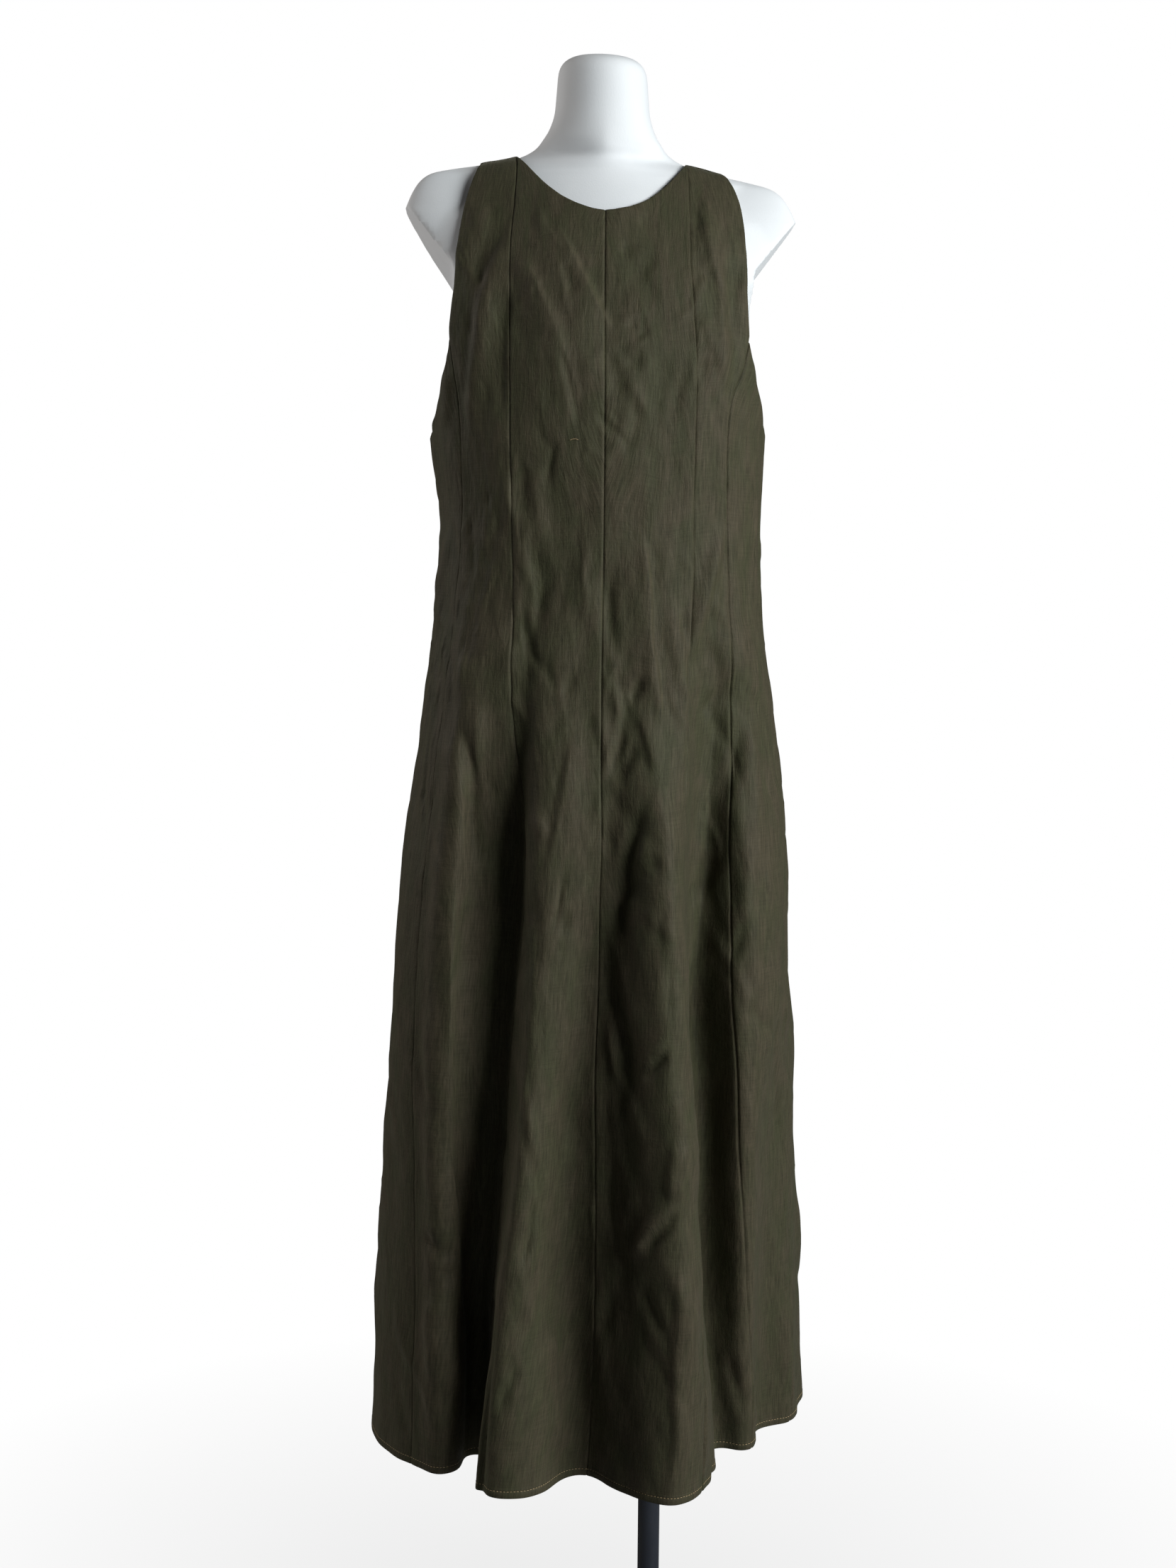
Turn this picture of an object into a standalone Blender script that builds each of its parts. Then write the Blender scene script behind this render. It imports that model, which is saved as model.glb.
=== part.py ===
"""A sleeveless, ankle-length panelled dress on a limbless dress form with a round pole and base.

Metres, +Z up. The dress faces -Y and its left side, as the viewer sees it, is at -X. The origin is on
the underside of the base, below the middle of the form.

Every cloth panel is a wall on one surface, skin(turn, level). turn goes round the body: -1 at the left
side seam, 0 at the centre front, 1 at the right side seam, 2 at the centre back and 3 at the left side
seam again. level is a height that dips with the shoulders.
"""

import bpy
import numpy as np

# Cloth
CLOTH = 0.0016  # wall thickness of a panel
SEAM_GAP = 0.0003  # between two panels that are sewn together

# Heights
HEM = 0.250
YOKE = 1.200  # below this the rows of every panel are level
UNDERARM = 1.282
PRINCESS = 1.375  # where the armhole seam leaves the armhole
NECK_FRONT = 1.500
NECK_BACK = 1.528
SHOULDER = 1.5725  # level of the shoulder seams

SHOULDER_SLOPE = 0.24  # fall of the shoulder seams towards the arms
SHOULDER_LEAN = 0.03  # the right shoulder stands lower than the left by this much a metre
NECK_BOW = 1.9  # roundness of the neckline
ARMHOLE_BOW = 2.0  # roundness of the lower armhole

# Panel grids: rows from the top edge to the hem, and columns of each panel.
TOP_ROWS, SKIRT_ROWS = 12, 16
ARMHOLE_ROWS = 8  # of the top rows, those beside the armhole
CROWDING = 2.0  # how much closer the rows lie towards a shoulder seam
COLUMN_CROWDING = 1.5  # how much closer a centre panel's columns lie towards its neck seam
CENTRE_FRONT_COLUMNS, MIDDLE_FRONT_COLUMNS, SIDE_FRONT_COLUMNS = 10, 9, 6
CENTRE_BACK_COLUMNS, MIDDLE_BACK_COLUMNS, SIDE_BACK_COLUMNS = 6, 6, 5

# Plan of the dress without its flutes: half widths, depths and squareness.
SECTION_COLUMNS = ("level", "left", "right", "front", "back", "square")
SECTIONS = (
    (1.5725, 0.200, 0.200, 0.000, 0.000, 2.2),
    (1.5685, 0.200, 0.200, 0.017, 0.017, 2.2),
    (1.5625, 0.199, 0.199, 0.028, 0.029, 2.2),
    (1.5525, 0.198, 0.198, 0.040, 0.042, 2.2),
    (1.5300, 0.197, 0.197, 0.0575, 0.0605, 2.2),
    (1.500, 0.195, 0.195, 0.075, 0.074, 2.2),
    (1.450, 0.190, 0.190, 0.095, 0.088, 2.2),
    (1.400, 0.185, 0.182, 0.110, 0.098, 2.3),
    (1.350, 0.179, 0.176, 0.119, 0.103, 2.3),
    (1.282, 0.173, 0.167, 0.119, 0.103, 2.3),
    (1.195, 0.163, 0.164, 0.114, 0.098, 2.3),
    (1.120, 0.167, 0.165, 0.117, 0.105, 2.2),
    (1.020, 0.178, 0.176, 0.125, 0.118, 2.2),
    (0.850, 0.197, 0.189, 0.133, 0.128, 2.2),
    (0.700, 0.210, 0.196, 0.136, 0.134, 2.2),
    (0.250, 0.226, 0.216, 0.140, 0.146, 2.2),
)

# Flutes of the skirt. Each begins at the start level, at one turn, and is at another turn where it meets
# the hem. There it stands out (or in, if negative) by its depth, over a reach in turns. draw pulls both
# its walls in towards it, lean carries it along round the hem, and ripe is the share of its height at
# which it is half grown. bow bends its path sideways midway down, in turns, and spread is how much wider
# it is where it starts.
FLUTE_COLUMNS = ("name", "start", "from_turn", "hem_turn", "depth", "reach", "draw", "lean", "ripe", "bow",
                 "spread")
FLUTES = (
    ("left_lobe", 1.06, -0.336, -0.761, 0.008, 0.266, -0.040, 0.044, 0.90, -0.107, 0.80),
    ("left_recess", 1.08, -0.403, -0.488, -0.050, 0.111, -0.027, 0.004, 0.21, 0.023, 0.05),
    ("left_flute", 1.08, -0.220, -0.234, 0.058, 0.182, -0.018, -0.010, 0.54, -0.098, 0.37),
    ("centre_recess", 1.02, 0.149, -0.017, -0.026, 0.085, -0.009, -0.005, 0.84, -0.120, -0.30),
    ("right_flute", 1.06, 0.150, 0.288, 0.060, 0.155, -0.002, -0.002, 0.20, 0.051, -0.30),
    ("right_sweep", 1.06, 0.679, 0.370, 0.015, 0.536, 0.014, -0.053, 0.24, -0.011, 0.65),
    ("right_recess", 1.12, 0.428, 0.648, -0.050, 0.097, -0.007, 0.006, 0.20, -0.044, -0.05),
    ("right_hollow", 0.95, 1.087, 0.858, -0.044, 0.115, -0.015, 0.017, 0.90, -0.120, 0.80),
    ("right_back_flute", 1.00, 1.30, 1.270, 0.030, 0.110, 0.000, -0.010, 0.60, 0.000, 0.00),
    ("right_back_recess", 1.02, 1.48, 1.500, -0.040, 0.105, -0.004, 0.000, 0.40, 0.000, 0.00),
    ("right_seat_flute", 1.05, 1.72, 1.740, 0.046, 0.120, -0.004, 0.010, 0.55, 0.000, 0.00),
    ("back_recess", 0.98, 2.00, 1.985, -0.026, 0.090, -0.006, 0.004, 0.60, 0.000, 0.00),
    ("left_seat_flute", 1.05, 2.26, 2.240, 0.042, 0.120, -0.004, -0.012, 0.50, 0.000, 0.00),
    ("left_back_recess", 1.02, 2.52, 2.490, -0.042, 0.105, -0.006, 0.004, 0.40, 0.000, 0.00),
    ("left_back_flute", 1.00, 2.70, 2.720, 0.026, 0.100, 0.000, 0.008, 0.60, 0.000, 0.00),
)

# Seam lines: where each one runs round the body, by level.
SEAM_COLUMNS = ("level", "turn")
SEAMS = {
    "centre_front": ((NECK_FRONT, -0.006), (1.44, -0.011), (1.38, -0.014), (1.15, -0.014), (1.05, -0.018),
                     (0.96, -0.011), (0.88, 0.006), (0.79, 0.011), (0.67, 0.013), (0.58, 0.022),
                     (0.45, 0.033), (0.38, 0.031), (0.32, 0.022), (0.25, 0.016)),
    "neck_left": ((SHOULDER, -0.280), (1.53, -0.297), (1.48, -0.321), (1.43, -0.336), (1.39, -0.348),
                  (1.32, -0.364), (1.20, -0.378), (1.11, -0.364), (0.98, -0.357), (0.92, -0.337),
                  (0.87, -0.333), (0.82, -0.340), (0.75, -0.359), (0.61, -0.388), (0.48, -0.409),
                  (0.41, -0.427), (0.34, -0.459), (0.25, -0.500)),
    "neck_right": ((SHOULDER, 0.276), (1.47, 0.277), (1.40, 0.303), (1.35, 0.324), (1.29, 0.339),
                   (1.16, 0.349), (1.11, 0.339), (1.05, 0.320), (0.99, 0.311), (0.94, 0.312),
                   (0.89, 0.327), (0.80, 0.358), (0.70, 0.376), (0.60, 0.388), (0.45, 0.393), (0.25, 0.402)),
    "arm_left": ((SHOULDER, -0.415), (1.555, -0.455), (1.523, -0.503), (1.487, -0.536), (1.44, -0.576),
                 (1.40, -0.613), (PRINCESS, -0.635), (1.30, -0.620), (1.17, -0.660), (0.70, -0.700),
                 (0.25, -0.750)),
    "arm_right": ((SHOULDER, 0.415), (1.555, 0.455), (1.53, 0.482), (1.49, 0.503), (1.435, 0.534),
                  (1.40, 0.560), (PRINCESS, 0.577), (1.36, 0.570), (1.345, 0.552), (1.325, 0.519),
                  (1.31, 0.502), (1.29, 0.502), (1.23, 0.518), (1.11, 0.536), (1.02, 0.528), (0.96, 0.539),
                  (0.88, 0.551), (0.81, 0.574), (0.75, 0.589), (0.66, 0.622), (0.57, 0.647), (0.50, 0.675),
                  (0.40, 0.712), (0.33, 0.741), (0.25, 0.758)),
    "side_right": ((UNDERARM, 1.000), (0.25, 1.000)),
    "arm_back_right": ((SHOULDER, 1.585), (1.53, 1.505), (1.45, 1.450), (PRINCESS, 1.400),
                       (1.17, 1.370), (0.25, 1.360)),
    "neck_back_right": ((SHOULDER, 1.724), (1.45, 1.680), (1.20, 1.640), (0.25, 1.620)),
    "centre_back": ((NECK_BACK, 2.000), (0.25, 2.000)),
    "neck_back_left": ((SHOULDER, 2.276), (1.45, 2.320), (1.20, 2.360), (0.25, 2.380)),
    "arm_back_left": ((SHOULDER, 2.415), (1.53, 2.495), (1.45, 2.550), (PRINCESS, 2.600),
                      (1.17, 2.630), (0.25, 2.640)),
    "side_left": ((UNDERARM, 3.000), (0.25, 3.000)),
}

# The form: rings from the top of the neck to its flat underside.
FORM_COLUMNS = ("height", "half_width", "front", "back", "square", "cap")
FORM_RINGS = (
    (1.6570, 0.0200, 0.0200, 0.0200, 2.00, 0.0000),
    (1.6550, 0.0310, 0.0320, 0.0320, 2.00, 0.0000),
    (1.6490, 0.0400, 0.0420, 0.0420, 2.00, 0.0000),
    (1.6400, 0.0440, 0.0460, 0.0460, 2.00, 0.0000),
    (1.6200, 0.0458, 0.0480, 0.0480, 2.00, 0.0000),
    (1.6020, 0.0475, 0.0490, 0.0500, 2.00, 0.0000),
    (1.5860, 0.0525, 0.0500, 0.0520, 1.90, 0.0000),
    (1.5750, 0.0590, 0.0510, 0.0530, 1.75, 0.0000),
    (1.5660, 0.0660, 0.0480, 0.0500, 1.40, 0.0000),
    (1.5566, 0.0820, 0.0500, 0.0500, 1.06, 0.0000),
    (1.5473, 0.1220, 0.0525, 0.0515, 1.06, 0.0000),
    (1.5425, 0.1480, 0.0540, 0.0545, 1.04, 0.0060),
    (1.5370, 0.1700, 0.0560, 0.0550, 1.05, 0.0150),
    (1.5290, 0.1815, 0.0590, 0.0570, 1.10, 0.0230),
    (1.5180, 0.1890, 0.0635, 0.0600, 1.22, 0.0320),
    (1.5060, 0.1945, 0.0680, 0.0630, 1.36, 0.0400),
    (1.4950, 0.1990, 0.0735, 0.0650, 1.52, 0.0450),
    (1.4800, 0.2000, 0.0790, 0.0690, 1.65, 0.0500),
    (1.4600, 0.1980, 0.0860, 0.0750, 1.80, 0.0540),
    (1.4370, 0.1800, 0.0930, 0.0810, 1.95, 0.0560),
    (1.4100, 0.1520, 0.1000, 0.0860, 2.05, 0.0000),
    (1.3500, 0.1470, 0.1090, 0.0910, 2.10, 0.0000),
    (1.2900, 0.1400, 0.1050, 0.0880, 2.10, 0.0000),
    (1.2000, 0.1230, 0.0880, 0.0800, 2.10, 0.0000),
    (1.1300, 0.1240, 0.0850, 0.0840, 2.10, 0.0000),
    (1.0400, 0.1400, 0.0900, 0.0960, 2.10, 0.0000),
    (0.9700, 0.1440, 0.0860, 0.0990, 2.10, 0.0000),
    (0.9100, 0.1350, 0.0760, 0.0880, 2.10, 0.0000),
)
FORM_SIDES = 40
CAP_SQUARE = 2.8  # squareness of the rounded end of each shoulder, whose depth is the cap column
# Each shoulder is closed by a flat oval plate.
ARM_PLATE_X, ARM_PLATE_Z = 0.1955, 1.503  # its top edge
ARM_PLATE_ANGLE = 36.0  # degrees that it leans under from upright
ARM_PLATE_TURN = 7.0  # degrees that it faces forward
ARM_ROOT = 0.148  # half width of the torso below the plates

# The stand
POLE_X = 0.062  # the pole is fitted to one side of the form's underside
POLE_RADIUS = 0.0115
POLE_SIDES = 24
BASE_RADIUS, BASE_HEIGHT, BASE_EDGE = 0.150, 0.010, 0.002
BASE_SIDES = 64
SEAT_GAP = 0.0003  # between the pole and what it touches

PLAIN_STEP = 0.0005  # step used to find the slope of the skin


def smooth(share):
    share = np.clip(share, 0.0, 1.0)
    return share * share * (3.0 - 2.0 * share)


def curve(table, column, at):
    """Read a column of a table at any height: a smooth line through its rows that never overshoots."""
    rows = sorted(tuple(row) for row in table)
    x = np.array([row[0] for row in rows])
    y = np.array([row[column] for row in rows])
    step, rise = np.diff(x), np.diff(y) / np.diff(x)
    slope = np.zeros(len(x))
    same = rise[1:] * rise[:-1] > 0
    left, right = 2 * step[1:] + step[:-1], step[1:] + 2 * step[:-1]
    safe = np.where(same, rise[1:] * rise[:-1], 1.0)
    mean = (left + right) * safe / np.where(same, left * rise[1:] + right * rise[:-1], 1.0)
    slope[1:-1] = np.where(same, mean, 0.0)
    slope[0], slope[-1] = rise[0], rise[-1]
    at = np.clip(np.asarray(at, float), x[0], x[-1])
    i = np.clip(np.searchsorted(x, at) - 1, 0, len(step) - 1)
    t, h = (at - x[i]) / step[i], step[i]
    return ((1 + 2 * t) * (1 - t) ** 2 * y[i] + t * (1 - t) ** 2 * h * slope[i]
            + t * t * (3 - 2 * t) * y[i + 1] - t * t * (1 - t) * h * slope[i + 1])


def lean_with_shoulders(x, height):
    """The small drop of the right shoulder and lift of the left, which the dress and the form share."""
    return height - SHOULDER_LEAN * x * smooth((height - 1.40) / 0.15)


def skin(turn, level):
    """Outer face of the dress at a turn round the body and a level, as an array of points."""
    turn, level = np.broadcast_arrays(np.asarray(turn, float), np.asarray(level, float))
    level = np.minimum(level, SHOULDER)
    angle = turn * np.pi / 2
    across, along = np.sin(angle), np.cos(angle)
    half = np.where(across < 0, curve(SECTIONS, 1, level), curve(SECTIONS, 2, level))
    deep = np.where(along > 0, curve(SECTIONS, 3, level), curve(SECTIONS, 4, level))
    square = curve(SECTIONS, 5, level)
    bend = np.maximum(1 - np.abs(across) ** square, 1e-9) ** (1 / square)
    x, y = half * across, -np.sign(along) * deep * bend

    nx = np.sign(across) * np.abs(across) ** (square - 1) / half
    ny = -np.sign(along) * bend ** (square - 1) / np.maximum(deep, 1e-4)
    length = np.hypot(nx, ny)
    nx, ny = nx / length, ny / length

    out, along_hem = np.zeros(turn.shape), np.zeros(turn.shape)
    for _name, start, from_turn, hem_turn, depth, reach, draw, lean, ripe, bow, spread in FLUTES:
        share = np.clip((start - level) / (start - HEM), 0.0, 1.0)
        grown = share ** 2 * (1 + ripe ** 2) / (share ** 2 + ripe ** 2)
        centre = from_turn + (hem_turn - from_turn) * share + 4 * bow * share * (1 - share)
        away = (turn - centre + 1.0) % 4.0 - 1.0
        away = np.where(away > 2.0, away - 4.0, away) / (reach * (1 + spread * (1 - share)))
        bump = np.exp(-away * away)
        out += depth * grown * bump
        along_hem += grown * (lean - 1.65 * draw * away) * bump
    x, y = x + out * nx - along_hem * ny, y + out * ny + along_hem * nx

    hump = np.sqrt(x * x + 0.03 ** 2) - 0.03
    z = level - SHOULDER_SLOPE * smooth((level - 1.38) / 0.15) * hump
    return np.stack([x, y, lean_with_shoulders(x, z)], axis=-1)


def skin_normal(turn, level):
    """Outward direction of the dress's surface."""
    level = np.minimum(level, SHOULDER - PLAIN_STEP)
    round_body = skin(turn + PLAIN_STEP, level) - skin(turn - PLAIN_STEP, level)
    upward = skin(turn, level + PLAIN_STEP) - skin(turn, level - PLAIN_STEP)
    normal = np.cross(round_body, upward)
    return normal / np.linalg.norm(normal, axis=-1, keepdims=True)


def seam(name, first_row):
    """(turns, levels) of a seam line at each row from its top edge to the hem."""
    table = SEAMS[name]
    top = max(row[0] for row in table)
    if name.startswith("arm"):
        beside = top - (top - PRINCESS) * (np.arange(ARMHOLE_ROWS) / ARMHOLE_ROWS) ** CROWDING
        levels = np.r_[beside, np.linspace(PRINCESS, YOKE, TOP_ROWS - ARMHOLE_ROWS, endpoint=False)]
        levels = levels[first_row:]
    else:
        rows = TOP_ROWS - first_row
        crowding = CROWDING if top == SHOULDER else 1.0
        levels = top - (top - YOKE) * (np.arange(rows) / rows) ** crowding
    levels = np.r_[levels, np.linspace(YOKE, HEM, SKIRT_ROWS + 1)]
    return curve(table, 1, levels), levels


def wall(points, normals):
    """Vertices and faces of one closed wall: the grid of outer points, and the same moved in."""
    rows, columns = points.shape[:2]
    verts = np.concatenate([points.reshape(-1, 3), (points - normals * CLOTH).reshape(-1, 3)])
    inner = rows * columns
    at = np.arange(inner).reshape(rows, columns)
    faces = []
    for r in range(rows - 1):
        for c in range(columns - 1):
            a, b, d, e = at[r, c], at[r, c + 1], at[r + 1, c + 1], at[r + 1, c]
            for p, q, s in ((a, e, d), (a, d, b)):
                faces += [(p, q, s), (s + inner, q + inner, p + inner)]
    rim = np.r_[at[0, :-1], at[:-1, -1], at[-1, :0:-1], at[:0:-1, 0]]
    for a, b in zip(rim, np.roll(rim, -1)):
        # Where two walls meet, both edges are split from the upper outer to the lower inner point.
        faces.append((a, b, b + inner, a + inner) if a < b else (b, b + inner, a + inner, a))
    return verts, [tuple(int(v) for v in face) for face in faces]


def solid(name, verts, faces, material, sharp_angle=40.0):
    mesh = bpy.data.meshes.new(name)
    mesh.from_pydata([tuple(v) for v in verts], [], faces)
    mesh.validate()
    mesh.update()
    mesh.shade_smooth()
    mesh.set_sharp_from_angle(angle=np.radians(sharp_angle))
    mesh.materials.append(material)
    made = bpy.data.objects.new(name, mesh)
    bpy.context.scene.collection.objects.link(made)
    return made


def panel(name, near, far, columns, bow, material, first_row=0):
    """One cut panel between two seam lines. bow rounds its top edge, which rises from near to far."""
    near_turn, near_level = seam(near, first_row)
    far_turn, far_level = seam(far, first_row)
    if far == "side_left" or near == "side_left":
        near_turn, far_turn = near_turn % 4.0, far_turn % 4.0
    share = 1.0 - np.linspace(1.0, 0.0, columns + 1) ** (COLUMN_CROWDING if "centre" in near else 1.0)
    turn = near_turn[:, None] + (far_turn - near_turn)[:, None] * share
    level = near_level[:, None] + (far_level - near_level)[:, None] * share ** bow
    points, normals = skin(turn, level), skin_normal(turn, level)

    on_shoulder = level >= SHOULDER - 1e-6
    normals[on_shoulder, 1] = 0.0
    normals /= np.linalg.norm(normals, axis=-1, keepdims=True)
    half_gap = SEAM_GAP / 2
    grid = points.copy()
    for edge, beside in ((0, 1), (-1, -2)):
        along = np.gradient(grid[:, edge], axis=0)
        aside = np.cross(along, normals[:, edge])
        aside /= np.linalg.norm(aside, axis=1, keepdims=True)
        inward = np.sum(aside * (grid[:, beside] - grid[:, edge]), axis=1, keepdims=True)
        points[:, edge] += aside * np.sign(inward) * half_gap
    down = grid[1] - grid[0]
    down *= half_gap / np.linalg.norm(down, axis=1, keepdims=True)
    points[0] += np.where(on_shoulder[0][:, None], down, 0.0)

    if far_turn.mean() < near_turn.mean():
        points, normals = points[:, ::-1], normals[:, ::-1]
    verts, faces = wall(points, normals)
    return solid(name, verts, faces, material)


def form_ring(angle, height, half, front, back, square, cap):
    """Points of the form at one height. The arm plates are where its sides are held to a plane."""
    x = half * np.sin(angle)
    bend = np.maximum(1 - np.abs(np.sin(angle)) ** square, 0.0) ** (1 / square)
    round_end = cap * np.maximum(1 - np.abs(np.sin(angle)) ** CAP_SQUARE, 0.0) ** (1 / CAP_SQUARE)
    deep = np.maximum(np.where(np.cos(angle) > 0, front, back) * bend, round_end)
    y = -np.sign(np.cos(angle)) * deep
    under, turn = np.radians(ARM_PLATE_ANGLE), np.radians(ARM_PLATE_TURN)
    plate = ARM_PLATE_X + y * np.tan(turn) + (height - ARM_PLATE_Z) * np.tan(under) / np.cos(turn)
    plate = np.maximum(plate, ARM_ROOT)
    x = np.clip(x, -plate, plate)
    return np.stack([x, y, lean_with_shoulders(x, np.full(x.shape, height))], axis=-1)


def form(name, material):
    """The torso: stacked rings, capped flat at both ends."""
    angle = np.arange(FORM_SIDES) * 2 * np.pi / FORM_SIDES
    verts = np.concatenate([form_ring(angle, *row) for row in FORM_RINGS])
    faces = []
    for ring in range(len(FORM_RINGS) - 1):
        for side in range(FORM_SIDES):
            a, b = ring * FORM_SIDES + side, ring * FORM_SIDES + (side + 1) % FORM_SIDES
            faces.append((b, a, a + FORM_SIDES, b + FORM_SIDES))
    faces.append(tuple(range(FORM_SIDES)))
    last = (len(FORM_RINGS) - 1) * FORM_SIDES
    faces.append(tuple(reversed(range(last, last + FORM_SIDES))))
    return solid(name, verts, faces, material, 35.0)


def turned(name, profile, sides, x, material):
    """A round solid from (radius, height) rows, bottom to top, about an upright axis at x."""
    angle = np.arange(sides) * 2 * np.pi / sides
    verts = [(x + r * np.cos(a), r * np.sin(a), z) for r, z in profile for a in angle]
    faces = [tuple(reversed(range(sides)))]
    for ring in range(len(profile) - 1):
        for side in range(sides):
            a, b = ring * sides + side, ring * sides + (side + 1) % sides
            faces.append((a, b, b + sides, a + sides))
    last = (len(profile) - 1) * sides
    faces.append(tuple(range(last, last + sides)))
    return solid(name, verts, faces, material, 30.0)


def material(name, colour, roughness, metallic=0.0):
    made = bpy.data.materials.new(name)
    made.use_nodes = True
    shader = made.node_tree.nodes["Principled BSDF"]
    shader.inputs["Base Color"].default_value = (*colour, 1.0)
    shader.inputs["Roughness"].default_value = roughness
    shader.inputs["Metallic"].default_value = metallic
    made.diffuse_color = (*colour, 1.0)
    return made


for old in list(bpy.data.objects):
    bpy.data.objects.remove(old, do_unlink=True)

olive = material("olive_cloth", (0.060, 0.056, 0.034), 0.72)
jersey = material("white_jersey", (0.80, 0.82, 0.84), 0.85)
black_metal = material("black_metal", (0.018, 0.021, 0.030), 0.45, 0.6)

panel("front_centre_left", "centre_front", "neck_left", CENTRE_FRONT_COLUMNS, NECK_BOW, olive)
panel("front_centre_right", "centre_front", "neck_right", CENTRE_FRONT_COLUMNS, NECK_BOW, olive)
panel("front_middle_left", "arm_left", "neck_left", MIDDLE_FRONT_COLUMNS, 1.0, olive)
panel("front_middle_right", "arm_right", "neck_right", MIDDLE_FRONT_COLUMNS, 1.0, olive)
panel("front_side_left", "side_left", "arm_left", SIDE_FRONT_COLUMNS, ARMHOLE_BOW, olive, ARMHOLE_ROWS)
panel("front_side_right", "side_right", "arm_right", SIDE_FRONT_COLUMNS, ARMHOLE_BOW, olive, ARMHOLE_ROWS)
panel("back_centre_left", "centre_back", "neck_back_left", CENTRE_BACK_COLUMNS, NECK_BOW, olive)
panel("back_centre_right", "centre_back", "neck_back_right", CENTRE_BACK_COLUMNS, NECK_BOW, olive)
panel("back_middle_left", "arm_back_left", "neck_back_left", MIDDLE_BACK_COLUMNS, 1.0, olive)
panel("back_middle_right", "arm_back_right", "neck_back_right", MIDDLE_BACK_COLUMNS, 1.0, olive)
panel("back_side_left", "side_left", "arm_back_left", SIDE_BACK_COLUMNS, ARMHOLE_BOW, olive, ARMHOLE_ROWS)
panel("back_side_right", "side_right", "arm_back_right", SIDE_BACK_COLUMNS, ARMHOLE_BOW, olive, ARMHOLE_ROWS)

form("form_torso", jersey)
underside = FORM_RINGS[-1][0]
turned("stand_pole",
       ((POLE_RADIUS, BASE_HEIGHT + SEAT_GAP), (POLE_RADIUS, underside - SEAT_GAP)),
       POLE_SIDES, POLE_X, black_metal)
turned("stand_base",
       ((BASE_RADIUS, 0.0), (BASE_RADIUS, BASE_HEIGHT - BASE_EDGE), (BASE_RADIUS - BASE_EDGE, BASE_HEIGHT)),
       BASE_SIDES, POLE_X, black_metal)
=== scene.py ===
# %% [markdown]
# # A panelled dress on its dress form
#
# The object is a long sleeveless dress of creased olive cloth. It hangs from the shoulders of a white
# jersey-covered form, which stands on a blue-black pole and a round base. The cloth is the lesson: one
# smooth surface gives the cut and the deep flutes, and creases, wrinkles, seams and a hem are laid on it.

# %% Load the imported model
import math

import bpy
import numpy as np
from mathutils import Matrix


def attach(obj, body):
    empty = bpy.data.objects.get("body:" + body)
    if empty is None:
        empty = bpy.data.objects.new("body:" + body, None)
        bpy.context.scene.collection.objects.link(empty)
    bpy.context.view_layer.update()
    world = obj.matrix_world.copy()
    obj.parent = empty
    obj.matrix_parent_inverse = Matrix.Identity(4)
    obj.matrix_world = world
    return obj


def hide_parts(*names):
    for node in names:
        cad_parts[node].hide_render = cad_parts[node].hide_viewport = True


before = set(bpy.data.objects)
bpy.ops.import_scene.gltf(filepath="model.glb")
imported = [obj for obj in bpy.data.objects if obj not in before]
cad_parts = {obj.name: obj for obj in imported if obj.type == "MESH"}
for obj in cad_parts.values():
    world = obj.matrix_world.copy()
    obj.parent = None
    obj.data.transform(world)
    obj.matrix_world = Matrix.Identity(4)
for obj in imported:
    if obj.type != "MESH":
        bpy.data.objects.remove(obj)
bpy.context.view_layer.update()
scene = bpy.context.scene

# %% [markdown]
# ## The camera
#
# The photograph was taken from just left of the middle, at chest height, looking a little down. A camera
# can be aimed with a Track To constraint, but here its turn, tilt and small roll are known, so its
# rotation is written as three directions: right, up and back.

# %% Camera
def add_object(name, data):
    made = bpy.data.objects.new(name, data)
    scene.collection.objects.link(made)
    return made


def set_axes(made, x_axis, y_axis, z_axis, place):
    """Put an object at a place, with its own axes along three directions."""
    matrix = np.eye(4)
    matrix[:3] = np.stack([x_axis, y_axis, z_axis, place], axis=1)
    made.matrix_world = Matrix(matrix.tolist())


CAMERA_PLACE = (-0.1618, -2.3143, 1.187)
CAMERA_TURN, CAMERA_TILT, CAMERA_ROLL = (math.radians(a) for a in (3.774, 6.3, 0.45))
ahead = np.array([math.sin(CAMERA_TURN) * math.cos(CAMERA_TILT),
                  math.cos(CAMERA_TURN) * math.cos(CAMERA_TILT), -math.sin(CAMERA_TILT)])
level_right = np.array([math.cos(CAMERA_TURN), -math.sin(CAMERA_TURN), 0.0])
level_up = np.cross(level_right, ahead)
right = math.cos(CAMERA_ROLL) * level_right + math.sin(CAMERA_ROLL) * level_up
up = -math.sin(CAMERA_ROLL) * level_right + math.cos(CAMERA_ROLL) * level_up

lens = bpy.data.cameras.new("photo_camera")
lens.sensor_fit, lens.sensor_height, lens.lens = "VERTICAL", 36.0, 52.03
scene.camera = add_object("photo_camera", lens)
set_axes(scene.camera, right, up, -ahead, CAMERA_PLACE)
print("camera at", CAMERA_PLACE)

# %% [markdown]
# ## Light, floor and backdrop
#
# The cloth is lit by one broad light from the right and a little to the front, so every hollow that
# faces away from it goes dark. A large area light gives such soft-edged shadows. A weak warm light at the
# left, a little behind, catches the left side seam and keeps the shaded side readable. The floor and the
# surroundings are white, with little light of their own, so that they don't fill the folds: only the
# camera sees their full white.

# %% Helpers for nodes
def wire(tree, node, inputs):
    """Give a node's inputs, by name or number: each a value, or another node's output to link."""
    for name, value in inputs.items():
        if isinstance(value, bpy.types.NodeSocket):
            tree.links.new(value, node.inputs[name])
        else:
            node.inputs[name].default_value = value
    return node


def add(tree, kind, inputs=None, **settings):
    """A new node with its settings and inputs."""
    made = tree.nodes.new(kind)
    for name, value in settings.items():
        setattr(made, name, value)
    return wire(tree, made, inputs or {})


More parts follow.
